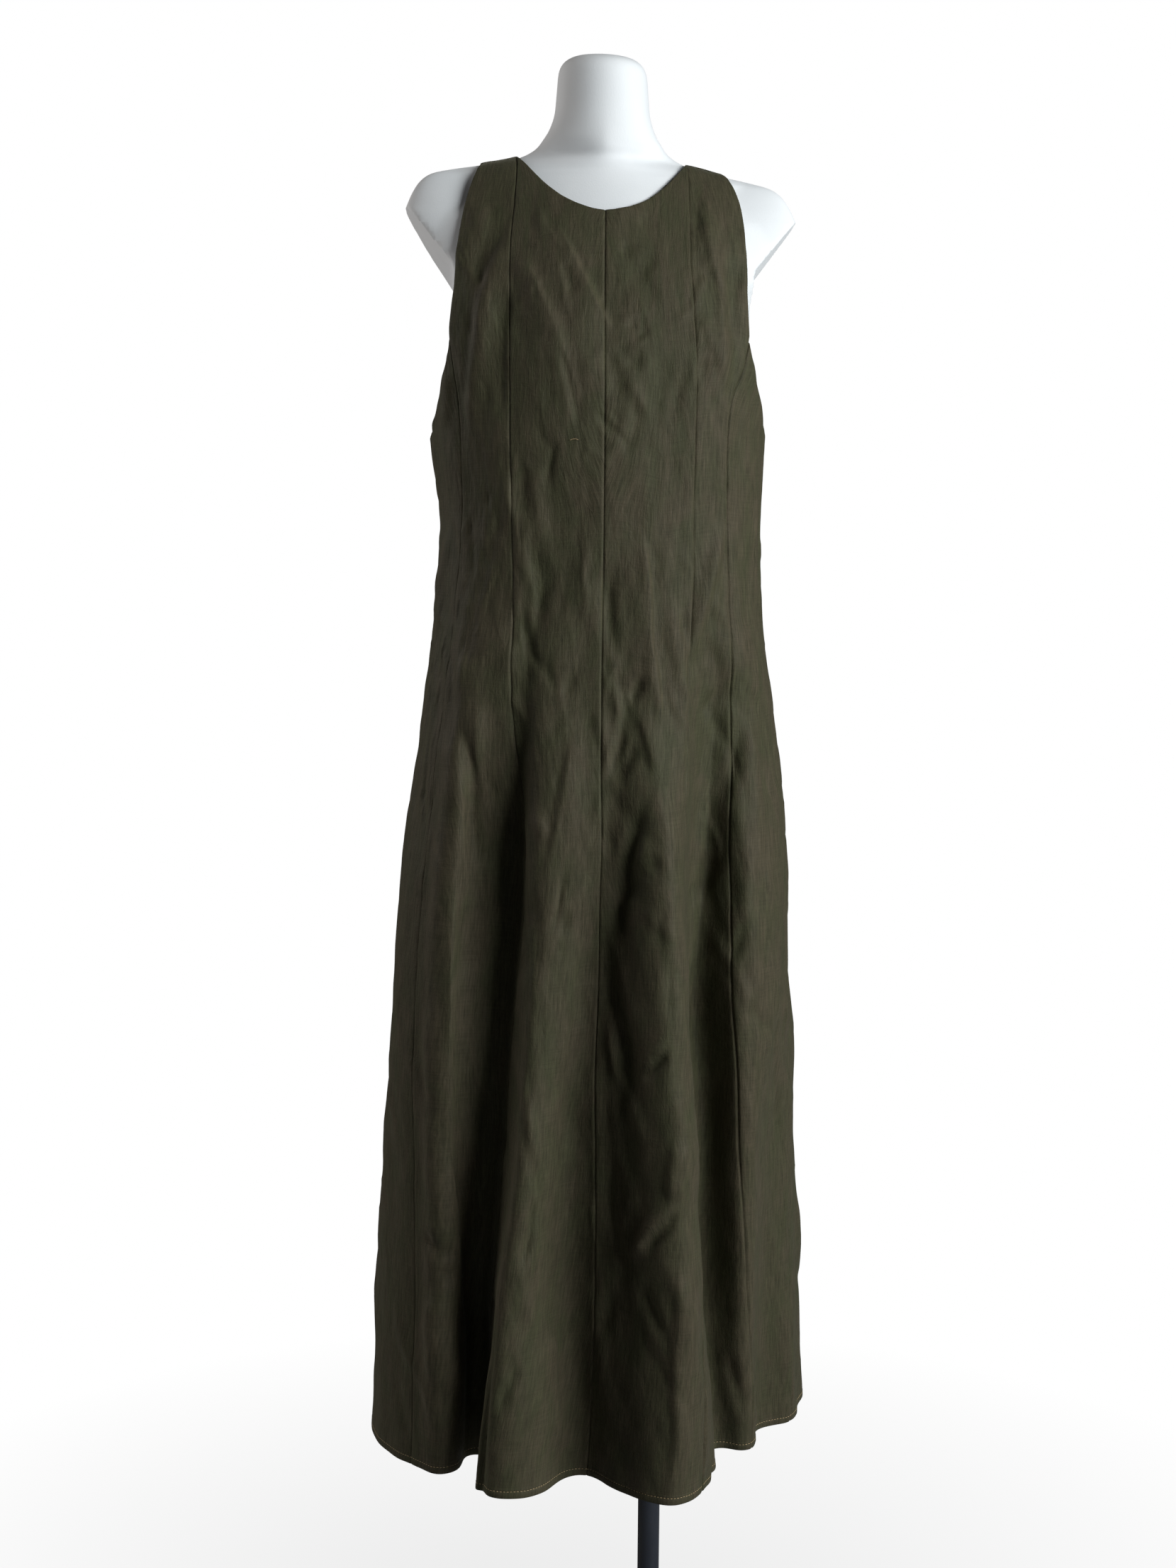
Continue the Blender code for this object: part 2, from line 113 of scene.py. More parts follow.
def math_node(tree, operation, *values):
    return add(tree, "ShaderNodeMath", dict(enumerate(values)), operation=operation).outputs[0]


def ranged(tree, value, low, high, to_low=0.0, to_high=1.0):
    """A value carried from one range to another, and held at its ends."""
    return add(tree, "ShaderNodeMapRange", {"Value": value, "From Min": low, "From Max": high,
                                            "To Min": to_low, "To Max": to_high}).outputs[0]


def new_material(name):
    made = bpy.data.materials.new(name)
    made.use_nodes = True
    return made, made.node_tree


print("node helpers:", [made.__name__ for made in (wire, add, math_node, ranged, new_material)])

# %% Light and stage
def area_light(name, place, aim, width, height, watts, colour):
    data = bpy.data.lights.new(name, "AREA")
    data.shape, data.size, data.size_y, data.energy, data.color = "RECTANGLE", width, height, watts, colour
    back = np.subtract(place, aim)
    back /= np.linalg.norm(back)
    side = np.cross((0, 0, 1), back)
    side /= np.linalg.norm(side)
    set_axes(add_object(name, data), side, np.cross(back, side), back, place)


def mesh_object(name, verts, faces, sharp=None):
    """A smooth mesh, with sharp edges where its faces turn by more than so many degrees."""
    mesh = bpy.data.meshes.new(name)
    mesh.from_pydata(verts, [], faces)
    mesh.shade_smooth()
    if sharp:
        mesh.set_sharp_from_angle(angle=math.radians(sharp))
    return add_object(name, mesh)


scene.view_settings.view_transform = "Standard"
area_light("key_light", (2.14, -1.86, 1.93), (0.0, 0.0, 0.95), 1.8, 1.4, 118.0, (0.94, 0.98, 0.98))
area_light("left_light", (-2.4, 0.6, 1.95), (0.0, 0.0, 0.9), 1.2, 1.8, 34.0, (1.0, 0.97, 0.93))
ROOM_LIGHT = 0.006  # of the white surroundings on the dress, against what the camera sees
FLOOR_HALF, FLOOR_DROP = 30.0, 0.0005

world = bpy.data.worlds.new("white_room")
world.use_nodes = True
scene.world = world
tree = world.node_tree
seen = add(tree, "ShaderNodeLightPath").outputs["Is Camera Ray"]
room_light = ranged(tree, seen, 0, 1, ROOM_LIGHT, 1)
wire(tree, tree.nodes["Background"], {"Color": (1, 1, 1, 1), "Strength": room_light})

corners = [(x * FLOOR_HALF, y * FLOOR_HALF, -FLOOR_DROP) for x, y in ((-1, -1), (1, -1), (1, 1), (-1, 1))]
floor = mesh_object("floor", corners, [(0, 1, 2, 3)])
floor_material, tree = new_material("pale_floor")
shader = wire(tree, tree.nodes["Principled BSDF"], {"Base Color": (0.28, 0.28, 0.28, 1.0), "Roughness": 0.8})
place = add(tree, "ShaderNodeTexCoord").outputs["Object"]
from_middle = add(tree, "ShaderNodeVectorMath", {0: place}, operation="LENGTH").outputs["Value"]
seen = add(tree, "ShaderNodeLightPath").outputs["Is Camera Ray"]
share = math_node(tree, "MULTIPLY", ranged(tree, from_middle, 0.1, 1.0, 0.80, 1.0), seen)
glow = add(tree, "ShaderNodeEmission", {"Strength": 1.0}).outputs[0]
mix = add(tree, "ShaderNodeMixShader", {0: share, 1: shader.outputs[0], 2: glow})
wire(tree, tree.nodes["Material Output"], {"Surface": mix.outputs[0]})
floor.data.materials.append(floor_material)
print("2 lights, a white room and a floor")

# %% [markdown]
# ## The surface of the dress
#
# A garment like this is drafted as flat panels, but once it is worn all of them lie on one smooth surface.
# The panels could be sewn and dropped in a cloth simulation, which gives other folds each time. Here that
# surface is a function of two numbers instead: `turn` goes round the body (0 at the centre front, 1 and -1
# at the side seams, 2 at the centre back), and `level` is a height that dips with the shoulders. Short
# tables give its half widths and depths, and each flute of the skirt is a bump that grows towards the hem.

# %% Sizes
SHELL = 0.0012  # thickness of the cloth
HEM, YOKE, UNDERARM, PRINCESS = 0.250, 1.200, 1.282, 1.375
NECK_FRONT, NECK_BACK, SHOULDER = 1.500, 1.528, 1.5725
SHOULDER_SLOPE, SHOULDER_LEAN = 0.24, 0.03
NECK_BOW, ARMHOLE_BOW = 1.9, 2.0

SECTION_COLUMNS = ("level", "left", "right", "front", "back", "square")
SECTIONS = (
    (1.5725, 0.200, 0.200, 0.000, 0.000, 2.2),
    (1.5685, 0.200, 0.200, 0.017, 0.017, 2.2),
    (1.5625, 0.199, 0.199, 0.028, 0.029, 2.2),
    (1.5525, 0.198, 0.198, 0.040, 0.042, 2.2),
    (1.5300, 0.197, 0.197, 0.0575, 0.0605, 2.2),
    (1.500, 0.195, 0.195, 0.075, 0.074, 2.2),
    (1.450, 0.190, 0.190, 0.095, 0.088, 2.2),
    (1.400, 0.185, 0.182, 0.110, 0.098, 2.3),
    (1.350, 0.179, 0.176, 0.119, 0.103, 2.3),
    (1.282, 0.173, 0.167, 0.119, 0.103, 2.3),
    (1.195, 0.163, 0.164, 0.114, 0.098, 2.3),
    (1.120, 0.167, 0.165, 0.117, 0.105, 2.2),
    (1.020, 0.178, 0.176, 0.125, 0.118, 2.2),
    (0.850, 0.197, 0.189, 0.133, 0.128, 2.2),
    (0.700, 0.210, 0.196, 0.136, 0.134, 2.2),
    (0.250, 0.226, 0.216, 0.140, 0.146, 2.2),
)

# Each flute begins at the start level, at one turn, and is at another turn at the hem. There it stands out
# (or in) by its depth, over a reach in turns. draw pulls both walls in towards it, lean carries it along
# round the hem, and ripe is the share of its height at which it is half grown. bow bends its path sideways
# midway down, in turns, and spread is how much wider it is where it starts.
FLUTE_COLUMNS = ("name", "start", "from_turn", "hem_turn", "depth", "reach", "draw", "lean", "ripe", "bow",
                 "spread")
FLUTES = (
    ("left_lobe", 1.06, -0.336, -0.761, 0.008, 0.266, -0.040, 0.044, 0.90, -0.107, 0.80),
    ("left_recess", 1.08, -0.403, -0.488, -0.050, 0.111, -0.027, 0.004, 0.21, 0.023, 0.05),
    ("left_flute", 1.08, -0.220, -0.234, 0.058, 0.182, -0.018, -0.010, 0.54, -0.098, 0.37),
    ("centre_recess", 1.02, 0.149, -0.017, -0.026, 0.085, -0.009, -0.005, 0.84, -0.120, -0.30),
    ("right_flute", 1.06, 0.150, 0.288, 0.060, 0.155, -0.002, -0.002, 0.20, 0.051, -0.30),
    ("right_sweep", 1.06, 0.679, 0.370, 0.015, 0.536, 0.014, -0.053, 0.24, -0.011, 0.65),
    ("right_recess", 1.12, 0.428, 0.648, -0.050, 0.097, -0.007, 0.006, 0.20, -0.044, -0.05),
    ("right_hollow", 0.95, 1.087, 0.858, -0.044, 0.115, -0.015, 0.017, 0.90, -0.120, 0.80),
    ("right_back_flute", 1.00, 1.30, 1.270, 0.030, 0.110, 0.000, -0.010, 0.60, 0.000, 0.00),
    ("right_back_recess", 1.02, 1.48, 1.500, -0.040, 0.105, -0.004, 0.000, 0.40, 0.000, 0.00),
    ("right_seat_flute", 1.05, 1.72, 1.740, 0.046, 0.120, -0.004, 0.010, 0.55, 0.000, 0.00),
    ("back_recess", 0.98, 2.00, 1.985, -0.026, 0.090, -0.006, 0.004, 0.60, 0.000, 0.00),
    ("left_seat_flute", 1.05, 2.26, 2.240, 0.042, 0.120, -0.004, -0.012, 0.50, 0.000, 0.00),
    ("left_back_recess", 1.02, 2.52, 2.490, -0.042, 0.105, -0.006, 0.004, 0.40, 0.000, 0.00),
    ("left_back_flute", 1.00, 2.70, 2.720, 0.026, 0.100, 0.000, 0.008, 0.60, 0.000, 0.00),
)

SEAM_COLUMNS = ("level", "turn")
SEAMS = {
    "centre_front": ((NECK_FRONT, -0.006), (1.44, -0.011), (1.38, -0.014), (1.15, -0.014), (1.05, -0.018),
                     (0.96, -0.011), (0.88, 0.006), (0.79, 0.011), (0.67, 0.013), (0.58, 0.022),
                     (0.45, 0.033), (0.38, 0.031), (0.32, 0.022), (0.25, 0.016)),
    "neck_left": ((SHOULDER, -0.280), (1.53, -0.297), (1.48, -0.321), (1.43, -0.336), (1.39, -0.348),
                  (1.32, -0.364), (1.20, -0.378), (1.11, -0.364), (0.98, -0.357), (0.92, -0.337),
                  (0.87, -0.333), (0.82, -0.340), (0.75, -0.359), (0.61, -0.388), (0.48, -0.409),
                  (0.41, -0.427), (0.34, -0.459), (0.25, -0.500)),
    "neck_right": ((SHOULDER, 0.276), (1.47, 0.277), (1.40, 0.303), (1.35, 0.324), (1.29, 0.339),
                   (1.16, 0.349), (1.11, 0.339), (1.05, 0.320), (0.99, 0.311), (0.94, 0.312),
                   (0.89, 0.327), (0.80, 0.358), (0.70, 0.376), (0.60, 0.388), (0.45, 0.393), (0.25, 0.402)),
    "arm_left": ((SHOULDER, -0.415), (1.555, -0.455), (1.523, -0.503), (1.487, -0.536), (1.44, -0.576),
                 (1.40, -0.613), (PRINCESS, -0.635), (1.30, -0.620), (1.17, -0.660), (0.70, -0.700),
                 (0.25, -0.750)),
    "arm_right": ((SHOULDER, 0.415), (1.555, 0.455), (1.53, 0.482), (1.49, 0.503), (1.435, 0.534),
                  (1.40, 0.560), (PRINCESS, 0.577), (1.36, 0.570), (1.345, 0.552), (1.325, 0.519),
                  (1.31, 0.502), (1.29, 0.502), (1.23, 0.518), (1.11, 0.536), (1.02, 0.528), (0.96, 0.539),
                  (0.88, 0.551), (0.81, 0.574), (0.75, 0.589), (0.66, 0.622), (0.57, 0.647), (0.50, 0.675),
                  (0.40, 0.712), (0.33, 0.741), (0.25, 0.758)),
    "side_right": ((UNDERARM, 1.000), (0.25, 1.000)),
    "arm_back_right": ((SHOULDER, 1.585), (1.53, 1.505), (1.45, 1.450), (PRINCESS, 1.400),
                       (1.17, 1.370), (0.25, 1.360)),
    "neck_back_right": ((SHOULDER, 1.724), (1.45, 1.680), (1.20, 1.640), (0.25, 1.620)),
    "centre_back": ((NECK_BACK, 2.000), (0.25, 2.000)),
    "neck_back_left": ((SHOULDER, 2.276), (1.45, 2.320), (1.20, 2.360), (0.25, 2.380)),
    "arm_back_left": ((SHOULDER, 2.415), (1.53, 2.495), (1.45, 2.550), (PRINCESS, 2.600),
                      (1.17, 2.630), (0.25, 2.640)),
    "side_left": ((UNDERARM, 3.000), (0.25, 3.000)),
}
print(len(SECTIONS), "sections,", len(FLUTES), "flutes,", len(SEAMS), "seam lines")

# %% Reading a table smoothly
STEP = 0.0005  # step used to find the slope of the surface


def smooth(share):
    share = np.clip(share, 0.0, 1.0)
    return share * share * (3.0 - 2.0 * share)


def curve(table, column, at):
    """Read a column of a table at any height: a smooth line through its rows that never overshoots."""
    rows = sorted(tuple(row) for row in table)
    x = np.array([row[0] for row in rows])
    y = np.array([row[column] for row in rows])
    step, rise = np.diff(x), np.diff(y) / np.diff(x)
    slope = np.zeros(len(x))
    same = rise[1:] * rise[:-1] > 0
    left, right = 2 * step[1:] + step[:-1], step[1:] + 2 * step[:-1]
    safe = np.where(same, rise[1:] * rise[:-1], 1.0)
    mean = (left + right) * safe / np.where(same, left * rise[1:] + right * rise[:-1], 1.0)
    slope[1:-1] = np.where(same, mean, 0.0)
    slope[0], slope[-1] = rise[0], rise[-1]
    at = np.clip(np.asarray(at, float), x[0], x[-1])
    i = np.clip(np.searchsorted(x, at) - 1, 0, len(step) - 1)
    t, h = (at - x[i]) / step[i], step[i]
    return ((1 + 2 * t) * (1 - t) ** 2 * y[i] + t * (1 - t) ** 2 * h * slope[i]
            + t * t * (3 - 2 * t) * y[i + 1] - t * t * (1 - t) * h * slope[i + 1])


print("half width of the dress at the waist:", round(float(curve(SECTIONS, 1, 1.195)), 3))

# %% The surface
def lean_with_shoulders(x, height):
    """The small drop of the right shoulder and lift of the left, which the dress and the form share."""
    return height - SHOULDER_LEAN * x * smooth((height - 1.40) / 0.15)


def skin(turn, level):
    """Outer face of the dress at a turn round the body and a level, as an array of points."""
    turn, level = np.broadcast_arrays(np.asarray(turn, float), np.asarray(level, float))
    level = np.minimum(level, SHOULDER)
    angle = turn * np.pi / 2
    across, along = np.sin(angle), np.cos(angle)
    half = np.where(across < 0, curve(SECTIONS, 1, level), curve(SECTIONS, 2, level))
    deep = np.where(along > 0, curve(SECTIONS, 3, level), curve(SECTIONS, 4, level))
    square = curve(SECTIONS, 5, level)
    bend = np.maximum(1 - np.abs(across) ** square, 1e-9) ** (1 / square)
    x, y = half * across, -np.sign(along) * deep * bend

    nx = np.sign(across) * np.abs(across) ** (square - 1) / half
    ny = -np.sign(along) * bend ** (square - 1) / np.maximum(deep, 1e-4)
    length = np.hypot(nx, ny)
    nx, ny = nx / length, ny / length

    out, along_hem = np.zeros(turn.shape), np.zeros(turn.shape)
    for _name, start, from_turn, hem_turn, depth, reach, draw, lean, ripe, bow, spread in FLUTES:
        share = np.clip((start - level) / (start - HEM), 0.0, 1.0)
        grown = share ** 2 * (1 + ripe ** 2) / (share ** 2 + ripe ** 2)
        centre = from_turn + (hem_turn - from_turn) * share + 4 * bow * share * (1 - share)
        away = (turn - centre + 1.0) % 4.0 - 1.0
        away = np.where(away > 2.0, away - 4.0, away) / (reach * (1 + spread * (1 - share)))
        bump = np.exp(-away * away)
        out += depth * grown * bump
        along_hem += grown * (lean - 1.65 * draw * away) * bump
    x, y = x + out * nx - along_hem * ny, y + out * ny + along_hem * nx

    hump = np.sqrt(x * x + 0.03 ** 2) - 0.03
    z = level - SHOULDER_SLOPE * smooth((level - 1.38) / 0.15) * hump
    return np.stack([x, y, lean_with_shoulders(x, z)], axis=-1)


def skin_normal(turn, level):
    """Outward direction of the dress's surface."""
    level = np.minimum(level, SHOULDER - STEP)
    round_body = skin(turn + STEP, level) - skin(turn - STEP, level)
    upward = skin(turn, level + STEP) - skin(turn, level - STEP)
    normal = np.cross(round_body, upward)
    return normal / np.linalg.norm(normal, axis=-1, keepdims=True)


print("centre front of the hem:", skin(0.0, HEM).round(3))

# %% [markdown]
# ## Creases
#
# Cloth that has been sat in and packed keeps creases: a sharp diagonal across the bust, soft tucks at the
# hip, long breaks beside the flutes. A noise texture can't place them. So each main crease is a line drawn
# on the front, in mm from the centre and above the floor, with a height (a ridge) or a depth (a trough) and
# its own reach to the left and to the right. A short reach on one side makes a hard edge there.

# %% Main creases of the front
CREASE_COLUMNS = ("name", "height_mm", "left_mm", "right_mm", "points of the line, across and up, in mm")
FRONT_CREASES = (
    ("lobe_swell", 17, 14, 24, (-118, 1220), (-124, 1110), (-135, 1010), (-146, 875), (-152, 740),
     (-158, 600), (-160, 460), (-160, 340), (-160, 240), (-160, 20)),
    ("left_hollow", -11, 12, 11, (-68, 1200), (-74, 1110), (-82, 1010), (-92, 875), (-100, 740),
     (-113, 600), (-121, 460), (-126, 340), (-128, 240), (-130, 20)),
    ("right_valley", -9, 4, 16, (116, 1100), (111, 1000), (103, 873), (94, 729), (103, 583), (106, 435),
     (114, 323), (118, 20)),
    ("right_swell", 6, 14, 18, (152, 1100), (150, 1000), (146, 873), (136, 729), (142, 583), (144, 435),
     (149, 323), (150, 20)),
    ("strap_trough_left", -4.8, 14.5, 7, (-93, 1542), (-98, 1504), (-108, 1473), (-116, 1452), (-123, 1429),
     (-126, 1411)),
    ("strap_ridge_left", 4.2, 6, 11, (-91, 1497), (-100, 1475), (-110, 1452), (-118, 1424), (-123, 1397),
     (-128, 1352), (-133, 1309), (-137, 1252)),
    ("princess_shade_left", -4.2, 12, 6, (-97, 1428), (-101, 1396), (-104, 1364), (-104, 1331),
     (-103, 1290)),
    ("bust_diagonal", 4.9, 26.5, 3.5, (-51, 1485), (-39, 1463), (-25, 1435), (-14, 1412), (-4, 1393),
     (6, 1375)),
    ("bust_second", 3, 17, 6, (-80, 1470), (-74, 1433), (-58, 1396), (-45, 1364), (-36, 1335), (-28, 1286)),
    ("bust_second_shade", -2.8, 5, 8.5, (-48, 1369), (-40, 1342), (-33, 1313), (-27, 1284)),
    ("bust_spot_left", -2.3, 7, 7, (-44, 1447), (-39, 1430), (-32, 1412)),
    ("bust_hollow_left", -2.3, 17, 17, (-87, 1442), (-83, 1398), (-81, 1353)),
    ("chest_a", -2.3, 6, 6, (53, 1503), (42, 1491), (32, 1481)),
    ("chest_b", -1.5, 5, 6, (23, 1471), (15, 1453)),
    ("chest_c", -2, 9.5, 7, (50, 1469), (41, 1450), (33, 1436), (40, 1420), (47, 1402)),
    ("chest_d", -2.4, 7, 9.5, (19, 1394), (28, 1381), (35, 1372)),
    ("chest_e", -2.4, 7, 8.5, (10, 1372), (16, 1358), (26, 1343)),
    ("chest_f", -1.9, 7, 5, (30, 1370), (28, 1352), (23, 1340)),
    ("chest_g", -2.5, 9.5, 8.5, (-1, 1369), (3, 1351), (9, 1331), (3, 1313)),
    ("chest_h", -2.5, 6, 7, (29, 1318), (26, 1298), (22, 1275), (15, 1259)),
    ("chest_i", 1.9, 6, 6, (17, 1336), (28, 1320), (40, 1298)),
    ("chest_j", -1, 7, 7, (49, 1359), (53, 1336), (50, 1318)),
    ("strap_ridge_right", 3.8, 6, 9.5, (89, 1547), (94, 1501), (102, 1455), (111, 1425), (112, 1386),
     (114, 1345), (114, 1300)),
    ("strap_shade_right", -3.8, 6, 8.5, (87, 1533), (88, 1500), (91, 1474)),
    ("arm_hollow_right", -5.7, 12, 8.5, (129, 1462), (124, 1414), (122, 1386), (125, 1359)),
    ("arm_hollow_low", -2.8, 7, 7, (120, 1377), (123, 1346), (118, 1311)),
    ("bust_right_diagonal", 2.3, 5, 6, (89, 1403), (98, 1378), (105, 1363), (111, 1338)),
    ("bust_right_spot", -2.7, 6, 6, (94, 1356), (90, 1335)),
    ("shoulder_right", -2.8, 5, 6, (84, 1536), (105, 1543), (114, 1536)),
    ("strap_swell_left", 2.8, 14.5, 17, (-123, 1517), (-135, 1476), (-139, 1434)),
    ("side_edge_left", 2.8, 5, 5, (-156, 1353), (-157, 1321), (-157, 1287)),
    ("side_shade_left", -2.3, 9.5, 9.5, (-141, 1343), (-139, 1298), (-141, 1252)),
    ("waist_a", -2.2, 7, 5, (-80, 1257), (-81, 1227), (-80, 1198)),
    ("waist_b", -2.5, 6, 9.5, (-74, 1189), (-73, 1166), (-67, 1143), (-65, 1116), (-68, 1075)),
    ("waist_c", 1.7, 6, 7, (-69, 1257), (-66, 1211), (-64, 1171)),
    ("waist_d", 1.7, 7, 6, (-80, 1179), (-74, 1148), (-69, 1120)),
    ("waist_cross", -1.9, 5, 6, (-88, 1111), (-79, 1088), (-72, 1075)),
    ("hook", 4.9, 6, 7, (-134, 1133), (-133, 1110), (-136, 1082), (-136, 1056), (-139, 1036), (-142, 1021)),
    ("hook_shade", -3.8, 6, 11, (-132, 1119), (-134, 1082), (-133, 1054)),
    ("lobe_crease", -6.9, 7, 8.5, (-133, 1001), (-130, 969), (-129, 934), (-130, 904), (-127, 878),
     (-123, 854)),
    ("lobe_ridge_inner", 3.8, 7, 9.5, (-118, 1025), (-121, 997), (-125, 962), (-125, 923)),
    ("lobe_ridge_outer", 3.8, 12, 9.5, (-146, 996), (-145, 956), (-142, 910)),
    ("hip_a", -3.1, 5, 6, (-30, 1052), (-38, 1039), (-41, 1029)),
    ("hip_step", 4, 5, 17, (-27, 1005), (-33, 982), (-39, 950), (-45, 920), (-50, 891), (-57, 866),
     (-60, 847)),
    ("centre_dark", -4.1, 9.5, 7, (-1, 1160), (2, 1130), (3, 1112), (5, 1084), (6, 1068)),
    ("centre_zigzag", -4.9, 6, 8.5, (10, 1057), (14, 1037), (17, 1016), (15, 989), (8, 966), (3, 943)),
    ("centre_sliver", 3.1, 5, 5, (5, 1043), (11, 1025), (12, 1009)),
    ("v_fold", -4.5, 5, 5, (35, 1048), (28, 1034), (21, 1027)),
    ("long_step", 5.5, 17, 3, (26, 1201), (35, 1178), (41, 1130), (42, 1084), (48, 1052), (52, 1011),
     (49, 989)),
    ("flute_edge_upper", 4, 14.5, 7, (58, 1133), (73, 1075), (78, 1006), (79, 915)),
    ("hip_diagonal", 4.9, 9.5, 5, (118, 1202), (109, 1167), (97, 1121), (88, 1082), (83, 1052)),
    ("hip_right_b", -4.4, 5, 6, (118, 1037), (108, 1023), (101, 1012), (99, 1002)),
    ("recess_start", -6.1, 9.5, 9.5, (130, 1065), (133, 1032), (141, 1008), (136, 980), (126, 950),
     (113, 914)),
    ("centre_flank", 4.5, 5, 14.5, (33, 1016), (38, 995), (45, 970), (49, 954)),
    ("v_fold_low", -4.5, 5, 6, (28, 989), (19, 966), (5, 948)),
    ("side_right_a", 2.5, 12, 12, (135, 1109), (146, 1062), (157, 1014)),
    ("side_right_b", -2.5, 6, 6, (160, 966), (170, 918)),
    ("side_left_seam", 3.8, 3.5, 5, (-153, 1204), (-158, 1158), (-167, 1117), (-169, 1079)),
    ("nick_a", -1.8, 3.5, 3.5, (-131, 1202), (-131, 1179)),
    ("nick_b", -1.8, 3.5, 5, (-104, 1211), (-106, 1182)),
    ("nick_c", -1.5, 3.5, 3.5, (-113, 1227), (-114, 1211)),
    ("lobe_edge", 4.5, 9.5, 12, (-159, 916), (-157, 879), (-158, 830), (-158, 786), (-160, 732),
     (-163, 696), (-162, 661), (-164, 614)),
    ("lobe_mid", -2.5, 9.5, 9.5, (-141, 820), (-138, 780), (-141, 745)),
    ("flank_a", -3.1, 9.5, 7, (-72, 848), (-68, 790), (-79, 753)),
    ("face_a", -2.5, 7, 7, (-41, 823), (-42, 800)),
    ("centre_deep", -6.9, 7, 6, (37, 936), (24, 891), (15, 845), (10, 808), (6, 778)),
    ("centre_deep_low", -6.1, 7, 9.5, (6, 778), (4, 748), (13, 706), (17, 673), (11, 613)),
    ("flute_v", -3.8, 5, 7, (35, 873), (26, 852), (17, 833)),
    ("flute_patch", -3.8, 9.5, 7, (44, 880), (46, 860)),
    ("flute_nick", -3.1, 6, 7, (55, 828), (48, 810), (50, 792)),
    ("flute_shade", -2.5, 8.5, 6, (66, 783), (59, 756), (57, 723)),
    ("flute_diag", -4.5, 3.5, 6, (59, 696), (45, 682), (30, 664)),
    ("flute_diag_light", 3.1, 5, 3.5, (57, 700), (43, 691), (32, 671)),
    ("recess_edge", -6.1, 7, 7, (108, 874), (99, 842), (88, 821)),
    ("lobe_right_diag", -3.8, 5, 6, (143, 726), (155, 707), (165, 686)),
    ("lobe_right_nick", -3.8, 6, 6, (142, 812), (135, 789), (133, 765)),
    ("lobe_right_light", 2.5, 17, 14.5, (165, 784), (164, 711), (166, 636)),
    ("right_rim", 3.1, 5, 6, (188, 723), (194, 675)),
    ("lobe_v", -5.5, 6, 5, (-173, 495), (-164, 480), (-154, 468)),
    ("lobe_v_low", -3.1, 6, 7, (-154, 468), (-166, 439), (-164, 416)),
    ("lobe_nick", -3.8, 5, 5, (-152, 558), (-145, 538), (-144, 526)),
    ("lobe_edge_low", 3.8, 5, 12, (-169, 458), (-161, 440), (-169, 405), (-168, 376), (-161, 329)),
    ("flute_tuck", 6.9, 6, 6, (68, 550), (57, 537), (41, 520), (31, 499), (22, 480)),
    ("flute_tuck_shade", -6.1, 5, 7, (71, 541), (57, 530), (44, 513), (33, 493)),
    ("flank_edge_upper", 6.1, 5, 17, (66, 612), (61, 578), (59, 546)),
    ("flank_edge_lower", 6.1, 6, 19, (70, 502), (70, 451), (67, 382), (69, 324), (63, 257)),
    ("flank_diag", -4.5, 7, 6, (31, 467), (44, 437), (55, 411)),
    ("centre_low", -3.1, 6, 6, (8, 452), (2, 420), (-3, 396)),
    ("left_zigzag", -4.9, 5, 5, (-75, 546), (-70, 524), (-79, 486), (-86, 474)),
    ("left_crest_edge", 4.5, 17, 5, (-53, 421), (-51, 384), (-50, 347), (-45, 270)),
    ("left_nick", -1.8, 2.5, 3.5, (-60, 361), (-59, 332)),
    ("left_hem_dent", -3.1, 7, 7, (-99, 386), (-90, 372), (-99, 349), (-106, 330)),
    ("right_hem_dent", -3.8, 7, 7, (135, 361), (138, 336), (146, 310), (147, 284)),
)
print(len(FRONT_CREASES), "creases on the front")

# %% Main creases of the back
BACK_CREASES = (
    ("blade_diagonal_a", 3.8, 5, 19, (60, 1495), (45, 1450), (22, 1405), (4, 1372)),
    ("blade_diagonal_b", 3, 17, 5, (-78, 1480), (-60, 1430), (-36, 1380), (-20, 1330)),
    ("strap_back_a", 3.4, 7, 11, (98, 1520), (108, 1460), (120, 1400), (126, 1330)),
    ("strap_back_b", -3.8, 11, 7, (-100, 1515), (-112, 1450), (-120, 1390)),
    ("waist_drag_a", -3, 6, 8.5, (62, 1250), (50, 1205), (54, 1160), (44, 1110)),
    ("waist_drag_b", -3.2, 8.5, 6, (-52, 1240), (-60, 1190), (-50, 1150), (-58, 1100)),
    ("waist_cross", -2.5, 6, 6, (-20, 1215), (10, 1200), (34, 1206)),
    ("seat_fold_a", 2.8, 7, 14.5, (20, 1080), (34, 1010), (46, 930), (52, 850)),
    ("seat_fold_b", -3.6, 7, 8.5, (-86, 1060), (-94, 990), (-88, 900), (-98, 820)),
    ("seat_tuck", 3.4, 6, 5, (110, 980), (92, 945), (80, 900)),
    ("skirt_step_a", 3.4, 14.5, 6, (-30, 880), (-24, 780), (-36, 660), (-30, 560)),
    ("skirt_step_b", 3.2, 6, 15.5, (100, 800), (112, 690), (106, 580), (118, 440)),
    ("skirt_tuck_a", 3.6, 6, 6, (-104, 560), (-84, 520), (-72, 465)),
    ("skirt_tuck_b", -3.2, 6, 7, (60, 620), (42, 575), (40, 520)),
    ("skirt_nick_a", -2.5, 5, 6, (132, 420), (120, 380), (124, 340)),
    ("skirt_nick_b", -2.3, 7, 6, (-140, 430), (-152, 390), (-146, 340)),
    ("hem_dent_back", -2.5, 8.5, 8.5, (6, 400), (-8, 350), (0, 300)),
)
print(len(BACK_CREASES), "creases on the back")

